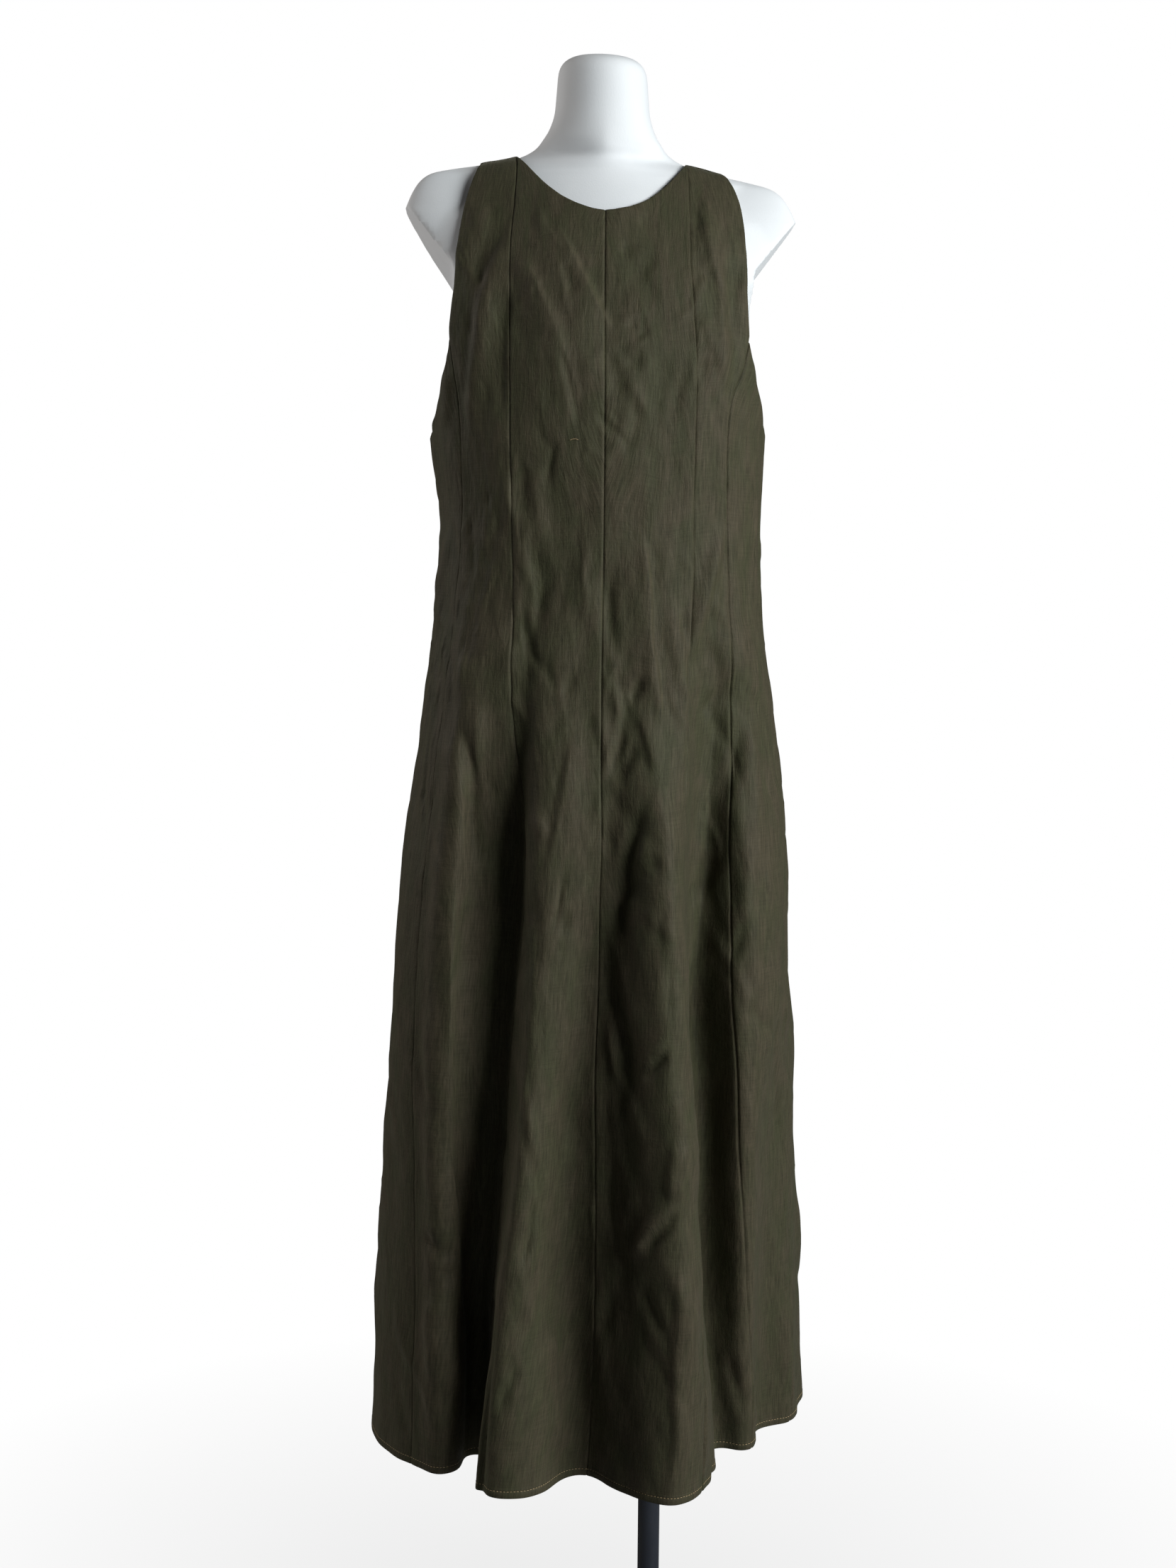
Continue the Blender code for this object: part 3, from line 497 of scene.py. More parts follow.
# %% Height of the creases at any point
def rounded(line, cuts=6):
    """A smooth line through given points."""
    line = np.array(line, float)
    before, after = 2 * line[0] - line[1], 2 * line[-1] - line[-2]
    p = np.vstack([before, line, after])
    t = np.linspace(0, 1, cuts, endpoint=False)[:, None]
    made = [0.5 * (2 * b + (c - a) * t + (2 * a - 5 * b + 4 * c - d) * t**2 + (3 * b - a - 3 * c + d) * t**3)
            for a, b, c, d in zip(p[:-3], p[1:-2], p[2:-1], p[3:])]
    return np.vstack([*made, line[-1:]])


def crease_heights(x, z, creases):
    """Sum of the creases at points seen from the front or the back, in metres."""
    height = np.zeros(x.shape)
    for _name, high, left, right_side, *line in creases:
        line = rounded(np.array(line) / 1000)
        reach = 0.003 * max(left, right_side)
        lo, hi = line.min(axis=0) - reach, line.max(axis=0) + reach
        near = (x > lo[0]) & (x < hi[0]) & (z > lo[1]) & (z < hi[1])
        if not near.any():
            continue
        px, pz = x[near], z[near]
        gap, side, done = np.full(px.shape, 9.0), np.zeros(px.shape), np.zeros(px.shape)
        step = np.diff(line, axis=0)
        length = np.hypot(step[:, 0], step[:, 1])
        start = np.concatenate([[0.0], np.cumsum(length)])
        for (ax, az), (dx, dz), size, begun in zip(line[:-1], step, length, start):
            t = np.clip(((px - ax) * dx + (pz - az) * dz) / size**2, 0, 1)
            qx, qz = px - ax - t * dx, pz - az - t * dz
            away = np.hypot(qx, qz)
            closer = away < gap
            gap = np.where(closer, away, gap)
            side = np.where(closer, -dz * qx + dx * qz, side)
            done = np.where(closer, (begun + t * size) / start[-1], done)
        width = np.where(side > 0, right_side, left) * 0.001
        taper = smooth(done / 0.3) * smooth((1 - done) / 0.3)
        height[near] += high * 0.001 * np.exp(-((gap / width) ** 2)) * taper
    return height


bust_fold = crease_heights(np.array([-0.02]), np.array([1.428]), FRONT_CREASES)
print("bust diagonal:", (bust_fold * 1000).round(2), "mm")

# %% [markdown]
# ## Small wrinkles
#
# Between the main creases, the cloth is never flat. It has long soft ripples down the skirt, short breaks in
# the bodice, and many small nicks. These are scattered at random, with a fixed seed, so they come out the
# same each time. Each one is a short soft line in the surface's own coordinates, so they follow the cut.

# %% Scatter the wrinkles
AROUND = 0.25  # metres round the body in one turn, for laying out wrinkles
WRINKLE_COLUMNS = ("name", "seed", "count", "levels", "length", "width", "height", "slant")
WRINKLES = (
    ("skirt_ripples", 11, 150, (0.27, 1.10), (0.060, 0.180), (0.0045, 0.0100), 0.00200, 0.12),
    ("bodice_breaks", 12, 150, (1.05, 1.52), (0.020, 0.060), (0.0030, 0.0070), 0.00130, 0.60),
    ("hip_breaks", 13, 90, (0.80, 1.15), (0.025, 0.080), (0.0030, 0.0075), 0.00190, 0.45),
    ("small_nicks", 14, 900, (0.26, 1.54), (0.008, 0.028), (0.0018, 0.0036), 0.00055, 0.50),
    ("fine_ripples", 15, 700, (0.26, 1.54), (0.025, 0.070), (0.0018, 0.0032), 0.00042, 0.10),
)


def scatter(seed, count, levels, length, width, height, slant):
    draw = np.random.default_rng(seed)
    return np.stack([
        draw.uniform(0, 4 * AROUND, count), draw.uniform(*levels, count), draw.normal(0, slant, count),
        draw.uniform(*length, count) / 2, draw.uniform(*width, count),
        draw.choice([-1, 1], count) * draw.uniform(0.4, 1.2, count) * height,
    ], axis=1)


scattered = np.concatenate([scatter(*row[1:]) for row in WRINKLES])


def wrinkle_heights(turn, level):
    round_body = (turn % 4.0) * AROUND
    height = np.zeros(turn.shape)
    for at, up_to, slope, half, width, high in scattered:
        across = (round_body - at + 2 * AROUND) % (4 * AROUND) - 2 * AROUND
        near = (np.abs(across) < half + 3 * width) & (np.abs(level - up_to) < half + 3 * width)
        if near.any():
            u, v = across[near], level[near] - up_to
            along = u * math.sin(slope) + v * math.cos(slope)
            beside = u * math.cos(slope) - v * math.sin(slope) + 0.15 * half * np.sin(along / half * 2.2)
            height[near] += high * np.exp(-((beside / width) ** 2) - (along / half) ** 4)
    return height


print(len(scattered), "small wrinkles")

# %% Broad unevenness
def uneven(u, v, cell_u, cell_v, seed):
    """Smooth noise from -1 to 1 that closes on itself round the body."""
    count = max(2, round(4 * AROUND / cell_u))
    lattice = np.random.default_rng(seed).uniform(-1, 1, (count, 512))
    a, b = (u / (4 * AROUND) * count) % count, v / cell_v + 40
    i, j = np.floor(a).astype(int), np.floor(b).astype(int)
    s, t = smooth(a - i), smooth(b - j)
    i0, i1, j0, j1 = i % count, (i + 1) % count, j % 512, (j + 1) % 512
    top = lattice[i0, j0] * (1 - s) + lattice[i1, j0] * s
    low = lattice[i0, j1] * (1 - s) + lattice[i1, j1] * s
    return top * (1 - t) + low * t


UNEVEN_COLUMNS = ("cell_round", "cell_up", "height", "seed")
UNEVEN = ((0.050, 0.110, 0.0024, 21), (0.021, 0.060, 0.0013, 22), (0.009, 0.022, 0.00050, 23))


def folds(turn, level, points, normals):
    """Height of the cloth above its smooth surface, and how much of it is crease, from -1 to 1."""
    facing = smooth(np.abs(normals[..., 1]) / 0.30)
    front = crease_heights(points[..., 0], points[..., 2], FRONT_CREASES) * (normals[..., 1] < 0)
    back = crease_heights(points[..., 0], points[..., 2], BACK_CREASES) * (normals[..., 1] > 0)
    height = (front + back) * facing + wrinkle_heights(turn, level)
    for cell_u, cell_v, high, seed in UNEVEN:
        height += high * uneven((turn % 4.0) * AROUND, level, cell_u, cell_v, seed)
    below = SHOULDER - level
    room = 0.0006 + 0.030 * below + 0.25 * np.maximum(below - 0.19, 0)  # to the form under the cloth
    swell = height * (0.3 + 0.7 * smooth(below / 0.05))
    height = np.where(height < 0, -room * np.tanh(-height / room), swell)
    # The second value is the crease mask, which paints light on ridges and shade in troughs in the cloth's
    # colour.
    return height, np.clip(height / 0.004, -1, 1)


bust = np.array([0.1]), np.array([1.4])
print("height at the bust:", (folds(*bust, skin(*bust), skin_normal(*bust))[0] * 1000).round(2), "mm")

# %% [markdown]
# ## Cutting the panels
#
# A maker cuts twelve panels and joins them with plain seams, pressed open. Each panel here is a fine grid
# between two seam lines of the surface, with its columns an equal way apart over the cloth and a few more
# close to each edge, where the cloth rolls into the seam. The grid is copied inwards to give the cloth its
# thickness, and its UV map is in metres of cloth, so a weave laid on it keeps its size and its grain.

# %% Seams, rows and columns
SEAM_LOOK_COLUMNS = ("groove_mm", "reach_mm", "low_groove_mm", "low_reach_mm", "pucker_mm")
SEAM_LOOK = {name: (0.9, 1.1, 0.9, 1.0, 0.30) for name in SEAMS} | {
    "centre_front": (1.1, 1.0, 1.0, 1.0, 0.20), "centre_back": (1.0, 1.1, 0.9, 1.0, 0.30),
    "neck_left": (1.0, 1.1, 0.8, 1.0, 0.35), "neck_right": (0.8, 1.1, 3.2, 1.7, 0.35),
    "arm_left": (0.5, 0.9, 0.6, 1.0, 0.25), "arm_right": (1.5, 1.2, 1.0, 1.0, 0.40),
    "side_left": (0.9, 1.1, 0.9, 1.1, 0.35), "side_right": (0.9, 1.1, 0.9, 1.1, 0.35),
}
TOP_ROWS, SKIRT_ROWS = 108, 166
EDGE_STEPS = (0.0, 0.0005, 0.0011, 0.0019, 0.0030, 0.0045)  # metres in from an edge
HEM_STEPS = (0.0125, 0.0110, 0.0096, 0.0088, 0.0080, 0.0074, 0.0070, 0.0066, 0.0060, 0.0048, 0.0034,
             0.0020, 0.0010, 0.0004, 0.0)  # metres above the edge
HEM_STITCH = 0.0070  # from the edge to the row of stitches
ARMHOLE_SHARE = 2 / 3  # of the top rows, those beside an armhole


def seam_line(name, shares, beside_armhole):
    """(turns, levels) of a seam at shares of the way down to the yoke, then down the skirt."""
    table = SEAMS[name]
    top = max(row[0] for row in table)
    if name.startswith("arm"):
        if beside_armhole:
            below = (shares - ARMHOLE_SHARE) / (1 - ARMHOLE_SHARE)
            levels = np.where(below < 0, top - (top - PRINCESS) * (shares / ARMHOLE_SHARE) ** 2,
                              PRINCESS - (PRINCESS - YOKE) * below)
        else:
            levels = PRINCESS - (PRINCESS - YOKE) * shares
    else:
        levels = top - (top - YOKE) * shares ** (2.0 if top == SHOULDER else 1.0)
    skirt = np.linspace(YOKE, HEM + 0.016, SKIRT_ROWS + 1)[1:]
    levels = np.concatenate([levels, skirt, HEM + np.array(HEM_STEPS)])
    return curve(table, 1, levels), levels


def seam_shape(name, away, level):
    """How the cloth dips into a seam and puckers beside it."""
    deep, reach, low_deep, low_reach, pucker = SEAM_LOOK[name]
    low = smooth((0.62 - level) / 0.12)
    deep, reach = deep + (low_deep - deep) * low, (reach + (low_reach - reach) * low) * 0.001
    order = sorted(SEAM_LOOK).index(name)
    wave = uneven(np.full(level.shape, 0.011 * order), level, 0.05, 0.0085, 40 + order)
    return 0.001 * (pucker * wave * np.exp(-away / 0.007) - deep * np.exp(-((away / reach) ** 2)))


def hem_shape(above):
    """The turned-up hem: a fold twice as thick, with a dent along its row of stitches."""
    turned = 0.00035 * smooth((0.0098 - above) / 0.0016)
    dent = -0.00045 * np.exp(-(((above - HEM_STITCH) / 0.0007) ** 2))
    return turned + dent - 0.0007 * np.exp(-((above / 0.0009) ** 2))


def rolled_edge(away):
    """The cloth rolls in at an open edge."""
    return -0.0006 * np.exp(-((away / 0.0009) ** 2))


print(len(SEAM_LOOK), "seams")

# %% Make one panel
STITCH_LIFT = 0.00010  # of the hem's thread above the cloth
PANEL_APART = 1.7  # between two panels in the weave's own metres, so that no streak runs over a seam
CLOTH_SPACING = {"front": 0.00222, "back": 0.0030}  # between the columns of a panel where it is widest


def running_length(points, axis):
    """How far each point lies from the first, measured along the line through all of them."""
    steps = np.linalg.norm(np.diff(points, axis=axis), axis=2)
    start = np.zeros_like(np.take(steps, [0], axis=axis))
    return np.concatenate([start, np.cumsum(steps, axis=axis)], axis=axis)


def cut_panel(name, near, far, bow, side_panel=False):
    """A panel between two seam lines: the mesh object, and the width, length and area of its cut."""
    rows, first = (TOP_ROWS // 3, 0.1) if side_panel else (TOP_ROWS, 0.12)
    shares = np.concatenate([[0.0, first, 0.3, 0.6], np.arange(1, rows + 1)]) / rows
    near_turn, near_level = seam_line(near, shares, not side_panel)
    far_turn, far_level = seam_line(far, shares, not side_panel)
    if "side_left" in (near, far):
        near_turn, far_turn = near_turn % 4.0, far_turn % 4.0
    dense = np.linspace(0, 1, 121)
    turn = near_turn[:, None] + (far_turn - near_turn)[:, None] * dense
    level = near_level[:, None] + (far_level - near_level)[:, None] * dense**bow
    line = skin(turn, level)
    arc = running_length(line, 1)
    width = arc[:, -1]
    spacing = CLOTH_SPACING["front" if name.startswith("front") else "back"]
    inner = max(8, int(width.max() / spacing))
    edge = np.array(EDGE_STEPS)
    across = np.stack([np.concatenate([edge, np.linspace(edge[-1], w - edge[-1], inner + 2)[1:-1],
                                       w - edge[::-1]]) for w in width])
    share = np.stack([np.interp(a, b, dense) for a, b in zip(across, arc)])
    turn = near_turn[:, None] + (far_turn - near_turn)[:, None] * share
    level = near_level[:, None] + (far_level - near_level)[:, None] * share**bow
    points, normals = skin(turn, level), skin_normal(turn, level)
    on_shoulder = level >= SHOULDER - 1e-6
    normals[on_shoulder, 1] = 0.0
    normals /= np.linalg.norm(normals, axis=-1, keepdims=True)

    height, crease = folds(turn, level, points, normals)
    near_away, far_away = across, width[:, None] - across
    from_top = running_length(points, 0)
    above_armhole = near.startswith("arm") & (near_level > PRINCESS + 1e-6)[:, None]
    height += np.where(above_armhole, rolled_edge(near_away), seam_shape(near, near_away, level))
    height += seam_shape(far, far_away, level)
    height += rolled_edge(from_top) * (bow > 1) + hem_shape(level - HEM)
    outer = points + normals * height[..., None]
    one_way, other_way = points[1:, 1:] - points[:-1, :-1], points[1:, :-1] - points[:-1, 1:]
    twice = np.linalg.norm(np.cross(one_way, other_way), axis=2)  # the area of each face, doubled
    cloth = np.stack([across - width[:, None] / 2, from_top.max(axis=0)[None] - from_top], axis=2)
    flipped = far_turn.mean() < near_turn.mean()
    row = int(np.argmin(np.abs(level[:, 0] - HEM - HEM_STITCH)))
    stitch_rows[name] = (outer[row, 2:-2] + normals[row, 2:-2] * STITCH_LIFT, normals[row, 2:-2])
    cloth[..., 0] += PANEL_APART * len(stitch_rows)
    made = cloth_wall("cloth_" + name, outer, normals, cloth, crease, flipped)
    return made, float(width.max()), float(from_top.max()), float(twice.sum() / 2)


def cloth_wall(name, outer, normals, cloth, crease, flipped):
    if flipped:
        outer, normals, cloth, crease = outer[:, ::-1], normals[:, ::-1], cloth[:, ::-1], crease[:, ::-1]
    rows, columns = outer.shape[:2]
    verts = np.concatenate([outer.reshape(-1, 3), (outer - normals * SHELL).reshape(-1, 3)])
    inner = rows * columns
    at = np.arange(inner).reshape(rows, columns)
    face = np.stack([at[:-1, :-1], at[1:, :-1], at[1:, 1:], at[:-1, 1:]], axis=-1).reshape(-1, 4)
    rim = np.concatenate([at[0, :-1], at[:-1, -1], at[-1, :0:-1], at[:0:-1, 0]])
    ahead_rim = np.roll(rim, -1)
    edge = np.stack([rim, ahead_rim, ahead_rim + inner, rim + inner], axis=-1)
    faces = np.concatenate([face, face[:, ::-1] + inner, edge])
    made = mesh_object(name, verts.tolist(), faces.tolist(), sharp=55)
    mesh = made.data
    uv = np.concatenate([cloth.reshape(-1, 2)] * 2)
    loops = np.empty(len(mesh.loops), np.int32)
    mesh.loops.foreach_get("vertex_index", loops)
    layer = mesh.uv_layers.new(name="cloth")
    layer.data.foreach_set("uv", uv[loops].astype(np.float32).ravel())
    # The crease mask goes to the cloth's colour, where it paints light on ridges and shade in troughs.
    mark = mesh.attributes.new("crease", "FLOAT", "POINT")
    mark.data.foreach_set("value", np.concatenate([crease.ravel()] * 2).astype(np.float32))
    return made


PANEL_COLUMNS = ("name", "near_seam", "far_seam", "bow_of_top_edge", "side_panel")
PANELS = (
    ("front_centre_left", "centre_front", "neck_left", NECK_BOW, False),
    ("front_centre_right", "centre_front", "neck_right", NECK_BOW, False),
    ("front_middle_left", "arm_left", "neck_left", 1.0, False),
    ("front_middle_right", "arm_right", "neck_right", 1.0, False),
    ("front_side_left", "side_left", "arm_left", ARMHOLE_BOW, True),
    ("front_side_right", "side_right", "arm_right", ARMHOLE_BOW, True),
    ("back_centre_left", "centre_back", "neck_back_left", NECK_BOW, False),
    ("back_centre_right", "centre_back", "neck_back_right", NECK_BOW, False),
    ("back_middle_left", "arm_back_left", "neck_back_left", 1.0, False),
    ("back_middle_right", "arm_back_right", "neck_back_right", 1.0, False),
    ("back_side_left", "side_left", "arm_back_left", ARMHOLE_BOW, True),
    ("back_side_right", "side_right", "arm_back_right", ARMHOLE_BOW, True),
)
panels, stitch_rows = {}, {}
for name, near, far, bow, side_panel in PANELS:
    panels[name] = cut_panel(name, near, far, bow, side_panel)
    piece, wide, long, area = panels[name]
    cut = f"cut {wide:.3f} by {long:.3f} m, {area:.3f} square m"
    print(f"{piece.name}: {cut}, {len(piece.data.polygons)} faces")

# %% [markdown]
# ## The row of stitches at the hem
#
# The hem is turned up and sewn with a light tan thread, seven millimetres above the edge. The machine makes
# every stitch alike, so Geometry Nodes sets one short stitch at equal steps along the line on each panel.
# A dashed texture would be cheaper, but the real thread stands proud and catches the light.

# %% Stitch maker
STITCH_LENGTH, STITCH_RADIUS, STITCH_PITCH = 0.0026, 0.00030, 0.0034
STITCH_RINGS, STITCH_SIDES = 5, 6


def ring_faces(rings, sides):
    """Faces of a tube of rings, and its two ends."""
    faces = []
    for i in range(rings - 1):
        for j in range(sides):
            here, beside = i * sides + j, i * sides + (j + 1) % sides
            faces.append((here, beside, beside + sides, here + sides))
    return faces + [tuple(reversed(range(sides))), tuple(range((rings - 1) * sides, rings * sides))]


def stitch_shape():
    """One stitch: a short thread, low and thin at both ends."""
    verts = []
    for a in np.linspace(-1, 1, STITCH_RINGS):
        thick, low = STITCH_RADIUS * (1 - 0.65 * a**4), STITCH_RADIUS * 0.9 * a**4
        verts += [(STITCH_LENGTH / 2 * a, thick * math.cos(b), thick * math.sin(b) - low)
                  for b in np.arange(STITCH_SIDES) * 2 * math.pi / STITCH_SIDES]
    return mesh_object("stitch", verts, ring_faces(STITCH_RINGS, STITCH_SIDES))


def new_tree(name, kind, inputs, outputs):
    """A node group with named sockets, and its input node's sockets."""
    tree = bpy.data.node_groups.new(name, kind)
    for way, sockets in (("INPUT", inputs), ("OUTPUT", outputs)):
        for title, socket in sockets.items():
            tree.interface.new_socket(title, in_out=way, socket_type="NodeSocket" + socket)
    return tree, add(tree, "NodeGroupInput").outputs


def stitching_tree():
    tree, given = new_tree(
        "stitches_along_a_line", "GeometryNodeTree",
        {"Geometry": "Geometry", "Stitch": "Object", "Pitch": "Float", "Seed": "Int", "Thread": "Material"},
        {"Geometry": "Geometry"})
    line = add(tree, "GeometryNodeMeshToCurve", {"Mesh": given["Geometry"]}).outputs["Curve"]
    places = add(tree, "GeometryNodeResampleCurve", {"Curve": line, "Length": given["Pitch"]}, mode="LENGTH")
    normal = add(tree, "GeometryNodeInputNamedAttribute", {"Name": "cloth_normal"}, data_type="FLOAT_VECTOR")
    axes = add(tree, "FunctionNodeAxesToRotation",
               {"Primary Axis": add(tree, "GeometryNodeInputTangent").outputs["Tangent"],
                "Secondary Axis": normal.outputs["Attribute"]}, primary_axis="X", secondary_axis="Z")
    wobble = add(tree, "FunctionNodeRandomValue", {0: (0, 0, -0.07), 1: (0, 0, 0.07), "Seed": given["Seed"]},
                 data_type="FLOAT_VECTOR")
    turn = add(tree, "FunctionNodeRotateRotation",
               {"Rotation": axes.outputs["Rotation"], "Rotate By": wobble.outputs[0]}, rotation_space="LOCAL")
    copies = add(tree, "GeometryNodeInstanceOnPoints", {
        "Points": places.outputs["Curve"], "Rotation": turn.outputs["Rotation"],
        "Instance": add(tree, "GeometryNodeObjectInfo", {"Object": given["Stitch"]}).outputs["Geometry"]})
    plain = add(tree, "GeometryNodeRealizeInstances", {"Geometry": copies.outputs["Instances"]})
    sewn = add(tree, "GeometryNodeSetMaterial",
               {"Geometry": plain.outputs["Geometry"], "Material": given["Thread"]})
    add(tree, "NodeGroupOutput", {"Geometry": sewn.outputs["Geometry"]})
    return tree


stitch, stitching = stitch_shape(), stitching_tree()
thread_material, thread_tree = new_material("tan_thread")
print("stitch faces:", len(stitch.data.polygons))

# %% Sew each panel's hem
def sew_hem(name, row, seed):
    """Stitches along a line of points on the cloth, each with the cloth's normal."""
    points, normals = row
    mesh = bpy.data.meshes.new(name + "_line")
    mesh.from_pydata(points.tolist(), [(i, i + 1) for i in range(len(points) - 1)], [])
    mark = mesh.attributes.new("cloth_normal", "FLOAT_VECTOR", "POINT")
    mark.data.foreach_set("vector", normals.astype(np.float32).ravel())
    guide = add_object(name + "_line", mesh)
    maker = guide.modifiers.new("stitches", "NODES")
    maker.node_group = stitching
    given = {item.name: item.identifier for item in stitching.interface.items_tree
             if item.item_type == "SOCKET" and item.in_out == "INPUT"}
    maker[given["Stitch"]], maker[given["Pitch"]] = stitch, STITCH_PITCH
    maker[given["Seed"]], maker[given["Thread"]] = seed, thread_material
    bpy.context.view_layer.update()
    graph = bpy.context.evaluated_depsgraph_get()
    made = add_object(name, bpy.data.meshes.new_from_object(guide.evaluated_get(graph), depsgraph=graph))
    made.data.name = name
    guide.modifiers.remove(maker)
    bpy.data.objects.remove(guide, do_unlink=True)
    return made


hem_stitches = {}
for order, (name, row) in enumerate(stitch_rows.items()):
    hem_stitches[name] = sew_hem("hem_stitches_" + name, row, order + 1)
bpy.data.objects.remove(stitch, do_unlink=True)
print("stitch faces in all:", sum(len(o.data.polygons) for o in hem_stitches.values()))

# %% A loose thread on the left front
THREAD_RADIUS, THREAD_LIFT, THREAD_SIDES = 0.00028, 0.0009, 8


def tube(name, line):
    """A thread along points, thinner at both ends."""
    along = np.gradient(line, axis=0)
    along /= np.linalg.norm(along, axis=1, keepdims=True)
    aside = np.cross(along, (0.0, 1.0, 0.0))
    aside /= np.linalg.norm(aside, axis=1, keepdims=True)
    other = np.cross(aside, along)
    angle = (np.arange(THREAD_SIDES) * 2 * np.pi / THREAD_SIDES)[:, None]
    from_end = np.minimum(np.arange(len(line)), np.arange(len(line))[::-1])
    thick = THREAD_RADIUS * np.clip(from_end + 0.35, 0, 1)[:, None, None]
    verts = line[:, None] + thick * (aside[:, None] * np.cos(angle) + other[:, None] * np.sin(angle))
    return mesh_object(name, verts.reshape(-1, 3).tolist(), ring_faces(len(line), THREAD_SIDES))


THREAD_LINE = ((-0.0352, 1.2762), (-0.0330, 1.2772), (-0.0300, 1.2775), (-0.0272, 1.2766))
line = rounded(THREAD_LINE, 5)
near_turn = curve(SEAMS["neck_left"], 1, line[:, 1])
turn = near_turn * line[:, 0] / skin(near_turn, line[:, 1])[:, 0]
on_cloth, facing = skin(turn, line[:, 1]), skin_normal(turn, line[:, 1])
high = folds(turn, line[:, 1], on_cloth, facing)[0][:, None]
loose_thread = tube("loose_thread", on_cloth + facing * (high + THREAD_LIFT))
print("loose thread from", on_cloth[0].round(3), "to", on_cloth[-1].round(3))

# %% [markdown]
# ## The form and its stand
#
# The form is a hollow shell covered in tight white jersey. It could be sculpted, but its outline comes from
# a table of rings, as in the first model, joined by smooth curves. The arm plates are where its sides are
# held to a slanted plane, and the neck ends in a flat top with a small rounded edge. A steel pole with a
# blue-black finish carries it, in a flat round base.

# %% Sizes of the form
FORM_SIDES = 128
CORNER_EASE, CORNER_REACH = 0.17, 0.45  # rounding of the front and back corners of a diamond-shaped ring
CAP_SQUARE = 2.8  # squareness of the rounded end of each shoulder, whose depth is the cap column
ARM_PLATE_X, ARM_PLATE_Z = 0.1955, 1.503  # its top edge
ARM_PLATE_ANGLE = 36.0  # degrees that it leans under from upright
ARM_PLATE_TURN = 7.0  # degrees that it faces forward
ARM_ROOT = 0.148  # half width of the torso below the plates
POLE_X = 0.062  # the pole is fitted to one side of the form's underside
POLE_RADIUS = 0.0115
BASE_RADIUS, BASE_HEIGHT = 0.150, 0.010
POLE_EDGE, BASE_EDGE, BASE_FOOT = 0.0008, 0.0025, 0.001  # radius of their rounded edges
SEAT_GAP = 0.0003  # between the pole and what it touches
FORM_COLUMNS = ("height_mm", "half_width_mm", "front_mm", "back_mm", "square", "cap_mm")
FORM_RINGS = (
    (1657, 20, 20, 20, 2, 0),
    (1655, 31, 32, 32, 2, 0),
    (1649, 40, 42, 42, 2, 0),
    (1640, 44, 46, 46, 2, 0),
    (1620, 45.8, 48, 48, 2, 0),
    (1602, 47.5, 49, 50, 2, 0),
    (1586, 52.5, 49.8, 51.2, 1.88, 0),
    (1575, 59, 50, 51.2, 1.68, 0),
    (1566, 66, 50, 50.8, 1.38, 0),
    (1556.6, 82, 50, 50, 1.08, 0),
    (1547.3, 122, 52.5, 51.5, 1.06, 0),
    (1542.5, 148, 54, 54.5, 1.04, 6),
    (1537, 170, 56, 55, 1.05, 15),
    (1529, 181.5, 59, 57, 1.1, 23),
    (1518, 189, 63.5, 60, 1.22, 32),
    (1506, 194.5, 68, 63, 1.36, 40),
    (1495, 199, 73.5, 65, 1.52, 45),
    (1480, 200, 79, 69, 1.65, 50),
    (1460, 198, 86, 75, 1.8, 54),
    (1437, 180, 93, 81, 1.95, 56),
    (1410, 152, 100, 86, 2.05, 0),
    (1350, 147, 109, 91, 2.1, 0),
    (1290, 140, 105, 88, 2.1, 0),
    (1200, 123, 88, 80, 2.1, 0),
    (1130, 124, 85, 84, 2.1, 0),
    (1040, 140, 90, 96, 2.1, 0),
    (970, 144, 86, 99, 2.1, 0),
    (910, 135, 76, 88, 2.1, 0),
)
print(len(FORM_RINGS), "rings")

# %% Make the form
def form_ring(angle, height, half, front, back, square, cap):
    """Points of the form at one height. The arm plates are where its sides are held to a plane."""
    x = half * np.sin(angle)
    ease = CORNER_EASE * max(2.0 - square, 0.0) * np.exp(-((np.sin(angle) / CORNER_REACH) ** 2))
    bend = np.maximum(1 - np.hypot(np.sin(angle), ease) ** square, 0.0) ** (1 / square)
    round_end = cap * np.maximum(1 - np.abs(np.sin(angle)) ** CAP_SQUARE, 0.0) ** (1 / CAP_SQUARE)
    deep = np.maximum(np.where(np.cos(angle) > 0, front, back) * bend, round_end)
    y = -np.sign(np.cos(angle)) * deep
    under, turn = np.radians(ARM_PLATE_ANGLE), np.radians(ARM_PLATE_TURN)
    plate = ARM_PLATE_X + y * np.tan(turn) + (height - ARM_PLATE_Z) * np.tan(under) / np.cos(turn)
    plate = np.maximum(plate, ARM_ROOT)
    x = np.clip(x, -plate, plate)
    return np.stack([x, y, lean_with_shoulders(x, np.full(x.shape, height))], axis=-1)


def closed_rings(name, rings):
    """Stacked rings of points, top to bottom, capped flat at both ends."""
    rings = np.asarray(rings)
    count, sides = rings.shape[:2]
    at = np.arange(count * sides).reshape(count, sides)
    beside = np.roll(at, -1, axis=1)
    faces = np.stack([beside[:-1], at[:-1], at[1:], beside[1:]], axis=-1).reshape(-1, 4).tolist()
    faces += [at[0].tolist(), at[-1, ::-1].tolist()]
    return mesh_object(name, rings.reshape(-1, 3).tolist(), faces, sharp=40)


def smooth_rows(rows, per_gap):
    """More rows between the rows of a table, by smooth curves that never overshoot."""
    t = np.linspace(0, len(rows) - 1, (len(rows) - 1) * per_gap + 1)
    slope = np.gradient(rows, axis=0)
    before, after = np.diff(rows, axis=0)[:-1], np.diff(rows, axis=0)[1:]
    both = np.where(before + after == 0, 1, before + after)
    slope[1:-1] = np.where(before * after > 0, 2 * before * after / both, 0)
    i = np.minimum(t.astype(int), len(rows) - 2)
    s = (t - i)[:, None]
    return ((2 * s**3 - 3 * s**2 + 1) * rows[i] + (s**3 - 2 * s**2 + s) * slope[i]
            + (3 * s**2 - 2 * s**3) * rows[i + 1] + (s**3 - s**2) * slope[i + 1])


